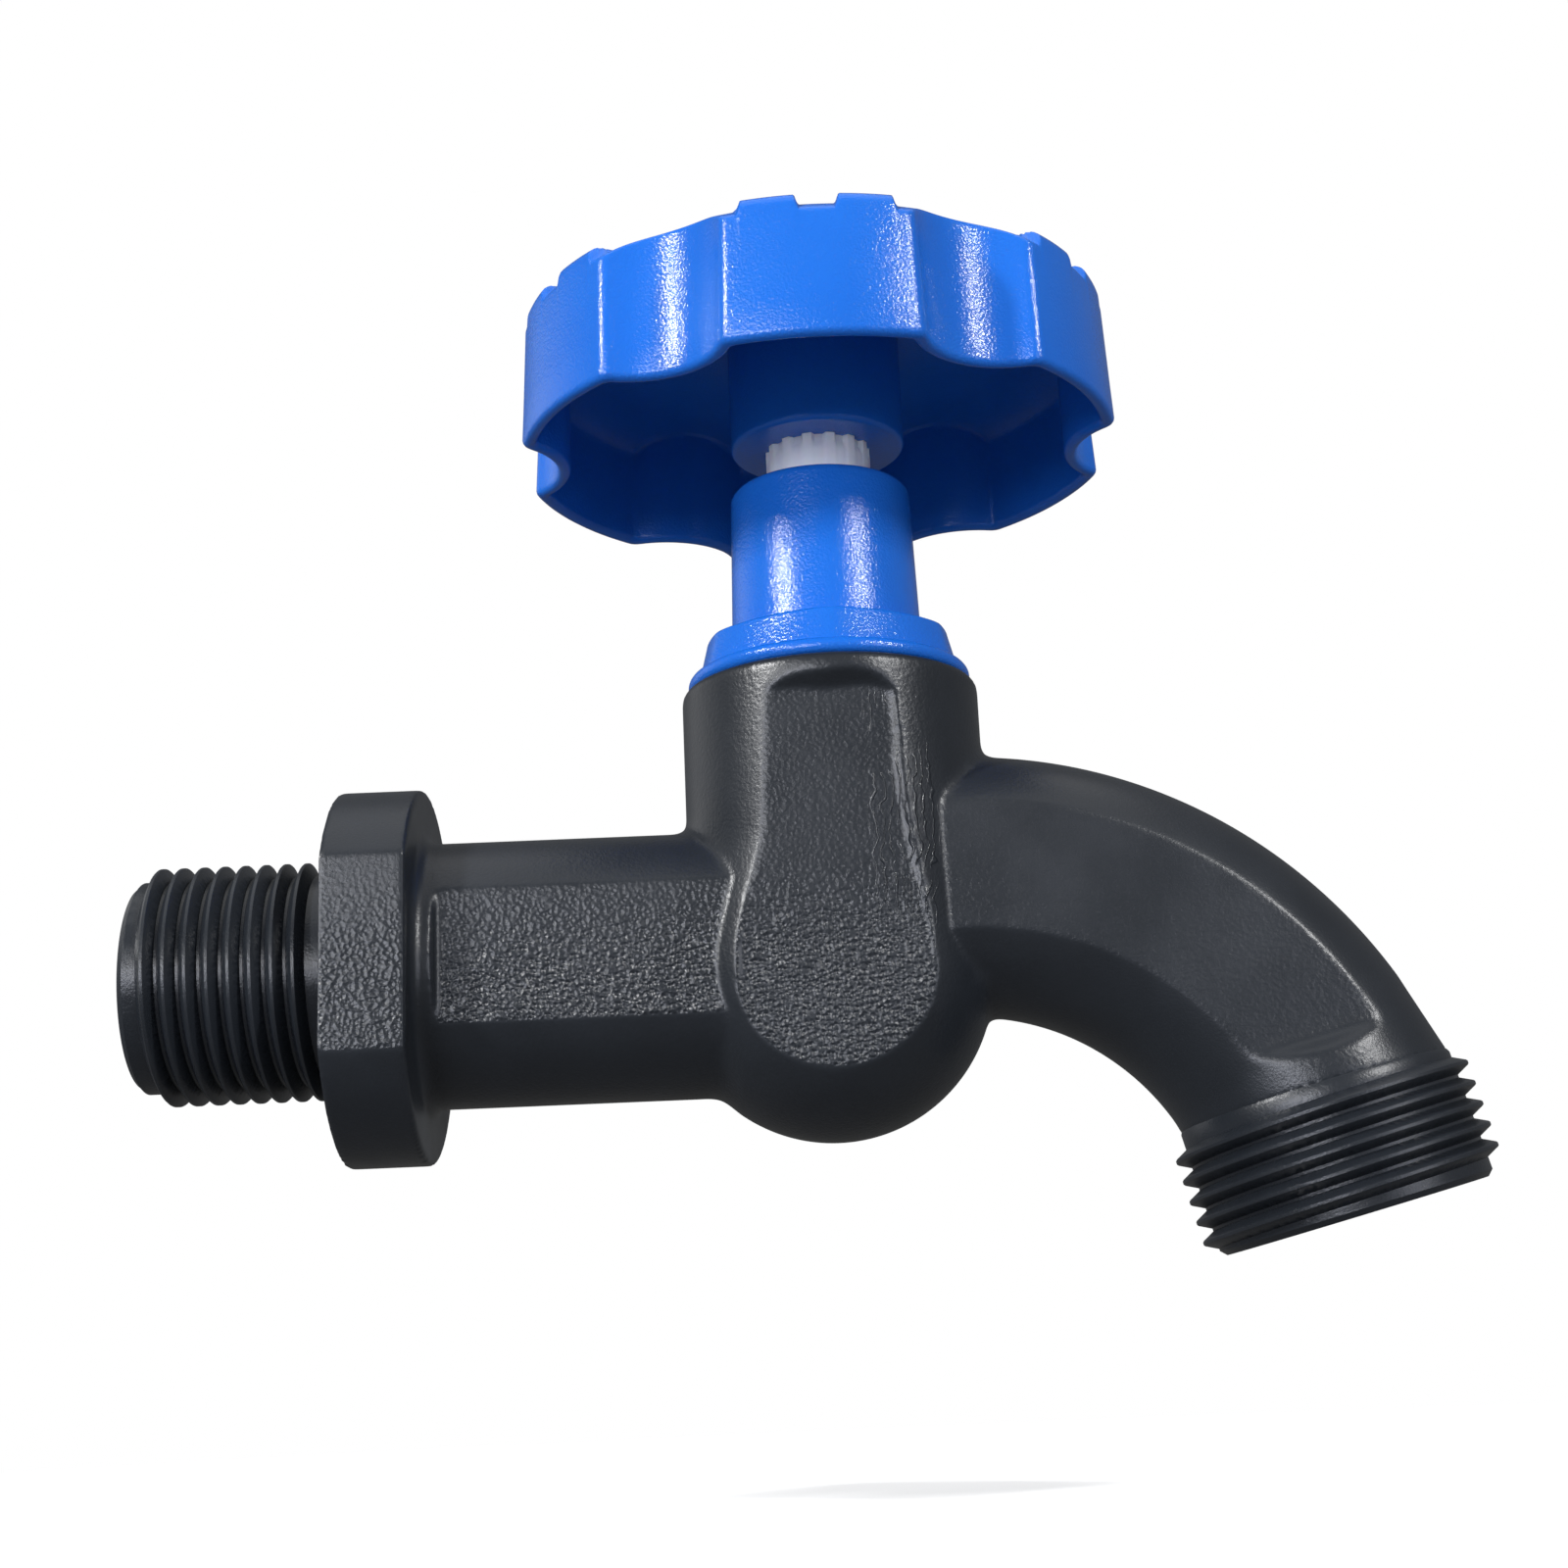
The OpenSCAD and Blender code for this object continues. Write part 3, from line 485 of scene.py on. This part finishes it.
def chamberRings(around=192):
    # a rounded mouth, a straight side and a smooth run into the round foot
    r, top, edge = tap["chamberRadius"], tap["chamberTop"], tap["mouthEdge"]
    foot, drop, shift = tap["footRadius"], tap["footDrop"], tap["footShift"]
    rings = [circleRing(0, top, (axisX, 0), around)]
    for t in np.radians([0, 22, 45, 68, 90]):
        rings.append(circleRing(r - edge + edge * math.sin(t), top - edge + edge * math.cos(t), (axisX, 0), around))
    for z in np.linspace(tap["footBlend"], -drop, 17):
        share = eased(z)
        rings.append(circleRing(r + (foot - r) * share, z, (axisX - shift * share, 0), around))
    for t in np.radians(np.linspace(0, 90, 31))[1:]:
        rings.append(circleRing(foot * math.cos(t), -drop - foot * math.sin(t), (axisX - shift, 0), around))
    return rings


def softenJoints(obj):
    # works the creases between the chamber, the arms and the spout's neck into fillets
    co = points(obj)
    x, y, z = co[:, 0] - axisX, co[:, 1], co[:, 2]
    share = eased(z)
    across = np.hypot(x + tap["footShift"] * share, y)
    side = across - tap["chamberRadius"] - (tap["footRadius"] - tap["chamberRadius"]) * share
    foot = np.hypot(across, z + tap["footDrop"]) - tap["footRadius"]
    stock = np.abs(np.where(z > -tap["footDrop"], side, foot))
    flats = np.abs(y) - tap["pipeFlat"]
    pipe = np.abs(np.maximum(np.hypot(y, z) - tap["pipeRadius"], flats))
    bx, bz = co[:, 0] - bendCentre[0], z - bendCentre[2]
    onBend = np.hypot(np.where(bx > 0, np.hypot(bx, bz), bz) - tap["bendRadius"], y) - tap["spoutRadius"]
    spout = np.abs(np.maximum(onBend, flats))
    reach = tap["filletReach"]
    joint = (stock < reach) & (np.where(x < 0, pipe, spout) < reach)
    along = (co - outletStart) @ np.array(outletAxis)
    neck = (along > -tap["spoutEnd"] - 2.5) & (along < -0.7)
    for mask, repeat in ((joint & (np.abs(y) < 7.5), 30), (joint & (np.abs(y) < tap["pipeFlat"] - 0.3), 10), (neck, 12),
                         (np.ones(len(co), bool), 4)):
        pick(obj, mask)
        bpy.ops.mesh.vertices_smooth(factor=0.5, repeat=repeat)
        closeEdit()


def neckLoft(turn):
    # carries the round of the bend over into the cylinder under the outlet thread
    turn, tilt = math.radians(turn), math.radians(tap["outletTilt"])
    a = np.linspace(0, 2 * math.pi, 128, endpoint=False)
    bent = np.array(bendCentre) + tap["bendRadius"] * np.array([math.sin(turn), 0, math.cos(turn)])
    first = bent + tap["spoutRadius"] * np.column_stack([np.cos(a) * math.sin(turn), np.sin(a), np.cos(a) * math.cos(turn)])
    low = np.array(alongOutlet(-0.3))
    radius = tap["outletCrest"] - tap["threadDepth"] - 0.12
    last = low + radius * np.column_stack([np.cos(a) * math.cos(tilt), np.sin(a), np.cos(a) * math.sin(tilt)])
    rings = [first + (last - first) * share for share in np.linspace(0, 1, 9)]
    return skin("outletNeck", [first * 0 + bent] + rings + [last * 0 + low])


def makeBody():
    arms = rod("pipe", tap["pipeRadius"], (3, 0, 0), (axisX, 0, 0))
    turn = tap["bendAngle"] - tap["neckTurn"]
    combine(arms, bentBar("bend", tap["bendRadius"], tap["spoutRadius"], turn), "UNION")
    combine(arms, rod("spoutRoot", tap["spoutRadius"], (axisX, 0, tap["spoutRise"]),
                      (bendCentre[0] + 0.01, 0, tap["spoutRise"])), "UNION")
    combine(arms, neckLoft(turn - 0.5), "UNION")
    for side in (-1, 1):
        combine(arms, flatCutter(side))
    stock = skin("tapBodyShell", chamberRings())
    for side in (-1, 1):
        combine(stock, panelCutter(side))
    combine(stock, arms, "UNION")
    flange = rod("flange", tap["flangeRadius"], (0, 0, 0), (tap["flangeLength"], 0, 0), 160)
    combine(flange, block("flangeFlats", (-5, -tap["flangeFlat"], -30), (20, tap["flangeFlat"], 30)), "INTERSECT")
    combine(stock, flange, "UNION")
    pipe, fillet = tap["pipeRadius"], tap["flangeFillet"]
    profile = [(0, 5), (pipe + fillet, 5)] + arc(pipe + fillet, tap["flangeLength"] + fillet, fillet, -90, -180, 7)
    collar = turned("flangeFillet", profile + [(0, tap["flangeLength"] + fillet)], (0, 0))
    combine(stock, place(collar, Matrix.Rotation(math.pi / 2, 4, "Y")), "UNION")
    finish(stock, "REMESH", mode="VOXEL", voxel_size=tap["voxel"] * mm)
    softenJoints(stock)
    finish(stock, "DECIMATE", ratio=tap["keep"])
    print("body stock:", len(stock.data.polygons), "faces")

    # inlet and outlet, turned clean, with their helical threads
    root, crest, chamfer, end = tap["inletCrest"] - tap["threadDepth"], tap["inletCrest"], tap["endChamfer"], -tap["inletLength"]
    inlet = rod("inlet", root, (1, 0, 0), (end + chamfer, 0, 0), 128)
    combine(inlet, rod("inletEnd", root, (end + chamfer + 0.1, 0, 0), (end, 0, 0), 128, root - chamfer), "UNION")
    thread = ridge("inletThread", root, crest, tap["threadPitch"], tap["crestWidth"], tap["flank"],
                   tap["inletFirst"], tap["inletTurns"], fade=0.2)
    place(thread, Matrix.Rotation(-math.pi / 2, 4, "Y"))
    combine(inlet, thread, "UNION")
    combine(stock, inlet, "UNION")

    root, crest, end = tap["outletCrest"] - tap["threadDepth"], tap["outletCrest"], tap["outletLength"]
    profile = [(0, -0.6), (root - 0.16, -0.6), (root, -0.3), (root, end - chamfer), (root - chamfer, end), (0, end)]
    outlet = place(turned("outlet", profile, (0, 0)), atOutlet())
    thread = ridge("outletThread", root, crest, tap["threadPitch"], tap["crestWidth"], tap["flank"],
                   tap["outletFirst"], tap["outletTurns"])
    place(thread, atOutlet())
    combine(outlet, thread, "UNION")
    combine(stock, outlet, "UNION")

    # waterways, the valve's room and the seat
    boreEnd = axisX - tap["valveRoom"] - tap["roomWall"]
    combine(stock, rod("inletBore", tap["inletBore"], (-2 * tap["inletLength"], 0, 0), (boreEnd, 0, 0)))
    bpy.ops.mesh.primitive_uv_sphere_add(segments=64, ring_count=40, radius=tap["footRoom"] * mm,
                                         location=Vector((axisX - tap["footShift"], 0, -tap["footDrop"])) * mm)
    room = settle("room")
    combine(room, rod("roomWay", tap["inletBore"], (boreEnd - 1, 0, 0), (axisX, 0, 0)), "UNION")
    combine(room, block("roomRoof", (0, -30, -60), (100, 30, -tap["seatWall"])), "INTERSECT")
    combine(stock, room)
    upper = rod("valveRoom", tap["valveRoom"], (axisX, 0, 0), (axisX, 0, 30))
    combine(upper, rod("skirtRoom", tap["skirtRoom"], (axisX, 0, tap["skirtRoomLow"]), (axisX, 0, 30)), "UNION")
    combine(upper, rod("sealRoom", tap["sealRoom"], (axisX, 0, tap["sealRoomLow"]), (axisX, 0, 30)), "UNION")
    combine(upper, bentBar("spoutBore", tap["boreBendRadius"], tap["spoutBore"], tap["bendAngle"]), "UNION")
    boreHeight = bendCentre[2] + tap["boreBendRadius"]
    combine(upper, rod("spoutBoreRoot", tap["spoutBore"], (axisX + 2, 0, boreHeight), (bendCentre[0] + 0.01, 0, boreHeight)),
            "UNION")
    combine(upper, rod("outletBore", tap["outletBore"], alongOutlet(-tap["spoutEnd"]), alongOutlet(15)), "UNION")
    combine(stock, upper)
    combine(stock, rod("seatLip", tap["seatLip"], (axisX, 0, -tap["seatWall"] / 2), (axisX, 0, tap["seatTop"])), "UNION")
    combine(stock, rod("seatHole", tap["seatHole"], (axisX, 0, -3), (axisX, 0, 2)))
    smoothShade(stock, 35)
    print("body done:", len(stock.data.polygons), "faces")
    return stock


# Bonnet

bonnet = {
    "flangeRadius": 12.8, "flangeHeight": 1.5, "skirtRadius": 10.1, "skirtDepth": 0.8, "skirtPitch": 1.5, "skirtEnd": 15.6,
    "collarCorner": 12.25, "collarSide": 11.8, "collarHeight": 3.1, "collarDraft": 0.75, "collarEdge": 0.35,
    "barrelRadius": 8.65, "barrelTopRadius": 8.3, "barrelHeight": 14.7, "barrelEdge": 0.8,
    "gland": 4.93, "glandStart": 24.2, "screwRoom": 6.58,
}


def collarRing(inset, z, around=240):
    # rounded hexagon with a corner on the front: six bowed sides, blended at the corners
    a = np.linspace(0, 2 * math.pi, around, endpoint=False)
    side = bonnet["collarSide"]
    corner = bonnet["collarCorner"]
    bow = (corner ** 2 + side ** 2 - 2 * corner * side * math.cos(math.pi / 6)) / (2 * (side - corner * math.cos(math.pi / 6)))
    off = side - bow
    radii = []
    for k in range(6):
        t = a - k * math.pi / 3
        radii.append(off * np.cos(t) + np.sqrt(bow ** 2 - (off * np.sin(t)) ** 2))
    radii = np.array(radii)
    sharp = 14
    r = -np.log(np.exp(-radii * sharp).sum(axis=0)) / sharp - inset
    return np.stack([axisX + r * np.cos(a), r * np.sin(a), np.full(around, z)], axis=1)


def makeBonnet():
    top = tap["chamberTop"]
    collarZ = top + bonnet["flangeHeight"]
    barrelZ = collarZ + bonnet["collarHeight"]
    end = barrelZ + bonnet["barrelHeight"]
    root = bonnet["skirtRadius"] - bonnet["skirtDepth"]
    lip = bonnet["flangeHeight"] / 2
    edge = bonnet["barrelEdge"]
    profile = [(0, bonnet["skirtEnd"]), (root - 0.4, bonnet["skirtEnd"]), (root, bonnet["skirtEnd"] + 0.4), (root, 22.6),
               (root + 0.7, 23.2), (root + 0.7, top)]
    profile += arc(bonnet["flangeRadius"] - lip, top + lip, lip, -90, 90, 13)
    profile += [(bonnet["barrelRadius"] + 0.5, collarZ), (bonnet["barrelRadius"] + 0.5, barrelZ)]
    profile += arc(bonnet["barrelRadius"] + 0.5, barrelZ + 0.5, 0.5, -90, -180, 6)
    profile += arc(bonnet["barrelTopRadius"] - edge, end - edge, edge, 0, 90, 9)
    profile += [(0, end)]
    shell = turned("bonnetShell", profile, (axisX, 0), 160)
    edge, draft = bonnet["collarEdge"], bonnet["collarDraft"]
    levels = [(9, collarZ - 0.3), (0, collarZ - 0.3), (draft, barrelZ - edge)]
    levels += [(draft + edge - edge * math.cos(t), barrelZ - edge + edge * math.sin(t))
               for t in np.radians([22, 45, 68, 90])]
    levels += [(9, barrelZ)]
    rings = [collarRing(inset, z) for inset, z in levels]
    centre = np.array([axisX, 0, 0])
    rings[0] = rings[0] * 0 + centre + [0, 0, levels[0][1]]
    rings[-1] = rings[-1] * 0 + centre + [0, 0, levels[-1][1]]
    combine(shell, skin("collar", rings), "UNION")
    thread = ridge("skirtThread", root, bonnet["skirtRadius"], bonnet["skirtPitch"], 0.3, tap["flank"], 0.9, 4.4)
    place(thread, Matrix.Translation(Vector((axisX, 0, bonnet["skirtEnd"])) * mm))
    combine(shell, thread, "UNION")
    combine(shell, rod("screwRoom", bonnet["screwRoom"], (axisX, 0, 10), (axisX, 0, bonnet["glandStart"])))
    combine(shell, rod("gland", bonnet["gland"], (axisX, 0, 10), (axisX, 0, 60)))
    smoothShade(shell, 32)
    print("bonnet done:", len(shell.data.polygons), "faces")
    return shell


# Spindle

spindle = {
    "stem": 4.85, "screw": 6.5, "foot": 5.1, "screwTop": 20.0, "splines": 14, "splineHeight": 0.5, "splineFill": 0.5,
    "splineStart": 47.3, "head": 55.35, "grooves": (30.9, 36.8), "grooveWidth": 1.8, "grooveDepth": 1.35,
}


def splineRing(z, radius, height, gap=0.0, around=14 * 16):
    a = np.linspace(0, 2 * math.pi, around, endpoint=False)
    wave = np.clip(0.5 + 2.2 * (np.cos(spindle["splines"] * a)), 0, 1)
    r = radius - height * (1 - wave) + gap
    return np.stack([axisX + r * np.cos(a), r * np.sin(a), np.full(around, z)], axis=1)


def makeSpindle():
    stem, screw, high = spindle["stem"], spindle["screw"], spindle["splineHeight"]
    plain = [(0, spindle["foot"]), (screw - 0.8, spindle["foot"]), (screw, spindle["foot"] + 0.8),
             (screw, spindle["screwTop"] - 0.5), (screw - 0.5, spindle["screwTop"]), (stem, spindle["screwTop"])]
    for z in spindle["grooves"]:
        low, top = z - spindle["grooveWidth"] / 2, z + spindle["grooveWidth"] / 2
        floor = stem - spindle["grooveDepth"]
        plain += [(stem, low), (floor, low), (floor, top), (stem, top)]
    rings = [splineRing(z, r, 0) for r, z in plain]
    start = spindle["splineStart"]
    rings += [splineRing(start - 0.6, stem, 0), splineRing(start, stem, high * 0.5), splineRing(start + 0.4, stem, high),
              splineRing(spindle["head"] - 0.5, stem, high), splineRing(spindle["head"], stem - 0.5, high * 0.4),
              splineRing(spindle["head"], 0, 0)]
    piece = skin("spindleStem", rings)
    combine(piece, rod("plugHole", 2.58, (axisX, 0, 4), (axisX, 0, spindle["foot"] + 8.5)))
    combine(piece, rod("screwHole", 2.0, (axisX, 0, spindle["head"] - 14), (axisX, 0, 60)))
    smoothShade(piece, 35)
    print("spindle done:", len(piece.data.polygons), "faces")
    return piece


# Handwheel

wheel = {
    "radius": 27.7, "low": 47.2, "wallTop": 58.3, "top": 61.1, "crownRadius": 8.4, "web": 2, "wall": 1.3, "lip": 0.65,
    "valleyDepth": 3.3, "valleyAngle": 24, "corner": 1.2, "cornerInside": 0.5, "draft": 0.4,
    "hub": 8.1, "hubLow": 48.2, "hubEdge": 0.5, "capFloor": 57.7, "cap": 5.45, "socketRoof": 55.4, "socketGap": 0.08,
    "screwHole": 2.05, "tabTop": 60.6, "tabShoulder": 1.4, "tabWidth": 4.9, "tabGap": 3.4, "tabSide": 0.22,
}
crownX = wheel["radius"] - math.sqrt((wheel["top"] - wheel["wallTop"])
                                     * (2 * wheel["crownRadius"] - wheel["top"] + wheel["wallTop"]))


def lobedOutline(inset, corner):
    # six lobes on arcs about the axis, six hollows between them, and a round where they meet
    half = math.radians(wheel["valleyAngle"] / 2)
    floor = wheel["radius"] - wheel["valleyDepth"]
    rise = wheel["radius"] * math.cos(half) - floor
    hollow = ((wheel["radius"] * math.sin(half)) ** 2 + rise ** 2) / (2 * rise)
    mid = floor + hollow
    big, hollow = wheel["radius"] - inset, hollow + inset
    fx = ((big - corner) ** 2 - (hollow + corner) ** 2 + mid ** 2) / (2 * mid)
    fy = math.sqrt((big - corner) ** 2 - fx ** 2)
    lobeStart = math.atan2(fy, fx)
    hollowEnd = math.atan2(fy, mid - fx)
    c, s = math.cos(math.pi / 3), math.sin(math.pi / 3)
    gx, gy = fx * c + fy * s, fx * s - fy * c
    sector = [(mid - hollow * math.cos(t), hollow * math.sin(t)) for t in np.linspace(-hollowEnd, hollowEnd, 23)]
    sector += [(fx + corner * math.cos(t), fy + corner * math.sin(t))
               for t in np.linspace(-hollowEnd, lobeStart, 7)[1:-1]]
    sector += [(big * math.cos(t), big * math.sin(t)) for t in np.linspace(lobeStart, math.pi / 3 - lobeStart, 101)]
    sector += [(gx + corner * math.cos(t), gy + corner * math.sin(t))
               for t in np.linspace(math.pi / 3 - lobeStart, math.pi / 3 + hollowEnd, 7)[1:-1]]
    outline = []
    for k in range(6):
        c, s = math.cos(k * math.pi / 3), math.sin(k * math.pi / 3)
        outline += [(x * c - y * s, x * s + y * c) for x, y in sector]
    return np.array(outline)


def crown(outline, inset=0):
    # height of the crowned top, or of the dome under it, over each point of an outline
    out = np.clip(np.hypot(outline[:, 0], outline[:, 1]) - crownX, 0, None)
    return wheel["top"] - wheel["crownRadius"] + np.sqrt((wheel["crownRadius"] - inset) ** 2 - out ** 2)


def lift(outline, z):
    return np.column_stack([axisX + outline[:, 0], outline[:, 1], np.broadcast_to(z, len(outline))])


def tabShare(outline):
    # 1 on the two tabs of each lobe and 0 off them, with short rounded sides
    turn = np.arctan2(outline[:, 1], outline[:, 0]) % (math.pi / 3) - math.pi / 6
    along = np.abs(np.hypot(outline[:, 0], outline[:, 1]) * np.sin(turn))
    near, far, side = wheel["tabGap"] / 2, wheel["tabGap"] / 2 + wheel["tabWidth"], wheel["tabSide"]
    up = np.clip((along - near + side) / (2 * side), 0, 1)
    down = np.clip((far + side - along) / (2 * side), 0, 1)
    share = up * down
    return share * share * (3 - 2 * share)


def topEdge(inset, drop):
    # a ring of the top at this distance in from the wall, raised to the tabs where they are
    outline = lobedOutline(wheel["draft"] + inset, wheel["corner"])
    plain = crown(outline) - drop
    out = max(wheel["tabShoulder"] - inset, 0)
    tab = wheel["tabTop"] - wheel["tabShoulder"] + math.sqrt(wheel["tabShoulder"] ** 2 - out ** 2)
    return lift(outline, plain + tabShare(outline) * np.clip(tab - plain, 0, None))


def makeWheel():
    wall, lip, web, draft = wheel["wall"], wheel["lip"], wheel["web"], wheel["draft"]
    low, wallTop = wheel["low"], wheel["wallTop"]
    inside = lobedOutline(wall, wheel["cornerInside"])
    rings = [lift(inside * share, crown(inside * share, web)) for share in (0.02, 0.5, 0.8, 0.86, 0.92, 0.96)]
    for more, drop in ((0.35, 0), (0.1, 0.2), (0, 0.6)):
        outline = lobedOutline(wall + more, wheel["cornerInside"])
        rings.append(lift(outline, crown(outline, web) - drop))
    for t in np.radians([0, 22, 45, 68, 90, 112, 135, 158, 180]):
        rings.append(lift(lobedOutline(wall / 2 * (1 + math.cos(t)), wheel["corner"]), low + lip - lip * math.sin(t)))
    for share in (0.35, 0.7):
        rings.append(lift(lobedOutline(draft * share, wheel["corner"]), low + share * (wallTop - low)))
    for inset, drop in ((0, 0.4), (0.02, 0.2), (0.08, 0.06), (0.2, 0), (0.4, 0), (0.7, 0), (1, 0), (1.4, 0), (1.8, 0),
                        (2.1, 0), (2.4, 0)):
        rings.append(topEdge(inset, drop))
    outside = lobedOutline(draft + 2.4, wheel["corner"])
    for share in (0.98, 0.95, 0.92, 0.89, 0.86, 0.83, 0.6, 0.02):
        rings.append(lift(outside * share, crown(outside * share)))
    pole = np.zeros_like(rings[0])
    rings = [pole + [axisX, 0, wheel["top"] - web]] + rings + [pole + [axisX, 0, wheel["top"]]]
    cup = skin("wheelCup", rings)
    hub = rod("hub", wheel["hub"], (axisX, 0, wheel["hubLow"]), (axisX, 0, wheel["top"] - web / 2), 128)
    pick(hub, points(hub)[:, 2] < wheel["hubLow"] + 0.1)
    bpy.ops.mesh.bevel(offset=wheel["hubEdge"] * mm, segments=5, affect="EDGES")
    closeEdit()
    combine(cup, hub, "UNION")
    stem, height, gap, roof = spindle["stem"], spindle["splineHeight"], wheel["socketGap"], wheel["socketRoof"]
    socket = skin("socket", [splineRing(low - 5, 0, 0), splineRing(low - 5, stem, height, gap),
                             splineRing(roof, stem, height, gap), splineRing(roof, 0, 0)])
    combine(cup, socket)
    combine(cup, rod("screwHole", wheel["screwHole"], (axisX, 0, low), (axisX, 0, wheel["top"] + 5)))
    combine(cup, rod("capRoom", wheel["cap"], (axisX, 0, wheel["capFloor"]), (axisX, 0, wheel["top"] + 5)))
    smoothShade(cup, 30)
    print("wheel done:", len(cup.data.polygons), "faces")
    return cup


finishes = {
    "body_plastic": mouldedBlack(),
    "blue_plastic": mouldedBlue(),
    "white_plastic": mouldedWhite(),
    "seal_rubber": sealRubber(),
    "brass": turnedMetal("turned brass", "#b98f45", "#d0ab62", 0.3),
    "steel": turnedMetal("turned stainless steel", "#a9adb2", "#c8ccd0", 0.28),
}


def dress(obj, slot):
    obj.data.materials.clear()
    obj.data.materials.append(finishes[slot])


pieces = [(makeBody(), "tap_body", "body", "body_plastic"), (makeBonnet(), "bonnet", "body", "blue_plastic"),
          (makeSpindle(), "spindle", "wheel", "white_plastic"), (makeWheel(), "handwheel", "wheel", "blue_plastic")]
for piece, node, body, slot in pieces:
    dress(piece, slot)
    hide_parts(node)
    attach(piece, body)

kept = {"bonnet_o_ring": "seal_rubber", "spindle_o_ring_lower": "seal_rubber", "spindle_o_ring_upper": "seal_rubber",
        "valve_plug": "brass", "valve_washer": "seal_rubber", "washer_screw": "brass",
        "wheel_screw_washer": "steel", "wheel_screw": "steel", "wheel_cap": "blue_plastic"}
for node, slot in kept.items():
    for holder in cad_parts[node].material_slots:
        holder.material = finishes[slot]
print("finishes on")


# Room

def paleFloor(name, shade, mirrored, fill):
    # pale paper that a reflection sees dimmer; the camera sees plain white with the tap's soft shadow on it
    material = blank(name)
    tree = material.node_tree
    path = add(tree, "ShaderNodeLightPath")
    paper = add(tree, "ShaderNodeBsdfDiffuse", {"Color": colour(shade)})
    strength = maths(tree, "MULTIPLY_ADD", path.outputs["Is Glossy Ray"], mirrored - 1, 1)
    glow = add(tree, "ShaderNodeEmission", {"Color": (1, 1, 1, 1), "Strength": strength})
    seen = maths(tree, "MAXIMUM", path.outputs["Is Camera Ray"],
                 maths(tree, "MAXIMUM", path.outputs["Is Glossy Ray"], path.outputs["Is Transmission Ray"]))
    mix = add(tree, "ShaderNodeMixShader", {0: seen, 1: paper.outputs["BSDF"], 2: glow.outputs["Emission"]})
    white = add(tree, "ShaderNodeBsdfDiffuse", {"Color": (0.9, 0.9, 0.9, 1)})
    base = add(tree, "ShaderNodeEmission", {"Color": (1, 1, 1, 1), "Strength": fill})
    shaded = add(tree, "ShaderNodeAddShader", {0: white.outputs["BSDF"], 1: base.outputs["Emission"]})
    spot = add(tree, "ShaderNodeTexCoord").outputs["Object"]
    away = add(tree, "ShaderNodeVectorMath", {0: spot, 1: (axisX * mm, 0, 0)}, operation="DISTANCE").outputs["Value"]
    near = maths(tree, "MULTIPLY", path.outputs["Is Camera Ray"], between(tree, away, 0.1, 0.3, 1, 0))
    whole = add(tree, "ShaderNodeMixShader", {0: near, 1: mix.outputs["Shader"], 2: shaded.outputs["Shader"]})
    add(tree, "ShaderNodeOutputMaterial", {"Surface": whole.outputs["Shader"]})
    return material


bpy.ops.mesh.primitive_plane_add(size=6, location=(0, 0, -0.047))
floor = settle("floor")
floor.data.materials.append(paleFloor("pale paper floor", "#8c8c8c", 0.12, 0.55))

world = bpy.data.worlds.new("studio")
bpy.context.scene.world = world
world.use_nodes = True
world.node_tree.nodes.clear()
tree = world.node_tree
path = add(tree, "ShaderNodeLightPath")
seen = add(tree, "ShaderNodeMath", {0: path.outputs["Is Camera Ray"], 1: path.outputs["Is Transmission Ray"]},
           operation="MAXIMUM")
soft = add(tree, "ShaderNodeBackground", {"Color": (0.95, 0.97, 1, 1), "Strength": 0.15})
white = add(tree, "ShaderNodeBackground", {"Color": (1, 1, 1, 1), "Strength": 1})
mixed = add(tree, "ShaderNodeMixShader", {0: seen.outputs["Value"], 1: soft.outputs["Background"],
                                          2: white.outputs["Background"]})
add(tree, "ShaderNodeOutputWorld", {"Surface": mixed.outputs["Shader"]})


def lamp(name, place, aim, size, power, shade="#ffffff"):
    bpy.ops.object.light_add(type="AREA", location=place)
    light = bpy.context.object
    light.name = name
    light.data.shape = "RECTANGLE"
    light.data.size, light.data.size_y = size
    light.data.energy = power
    light.data.color = colour(shade)[:3]
    light.rotation_euler = (Vector(aim) - Vector(place)).to_track_quat("-Z", "Y").to_euler()


middle = (0.045, 0, 0.02)
lamp("leftStrip", (-0.50, -0.40, 0.375), middle, (0.05, 0.13), 4.5)
lamp("rightStrip", (0.58, -0.55, 0.415), middle, (0.05, 0.15), 3.9)
lamp("topSoft", (0.05, -0.05, 0.65), middle, (0.7, 0.7), 1)
lamp("leftBack", (-0.55, 0.35, 0.2), middle, (0.5, 0.4), 0.35)
lamp("flatSheen", (-0.36, -0.85, 0.18), middle, (0.5, 0.22), 2)
lamp("leftFill", (-0.40, -0.79, 0.0), middle, (0.5, 0.28), 4.2, "#e9eeff")
lamp("rightFill", (0.62, -0.68, 0.0), middle, (0.5, 0.28), 1.8, "#e9eeff")
print("room lit")

bpy.context.scene.view_settings.view_transform = "Standard"


def plain(box):
    return [[float(v) for v in corner] for corner in box]
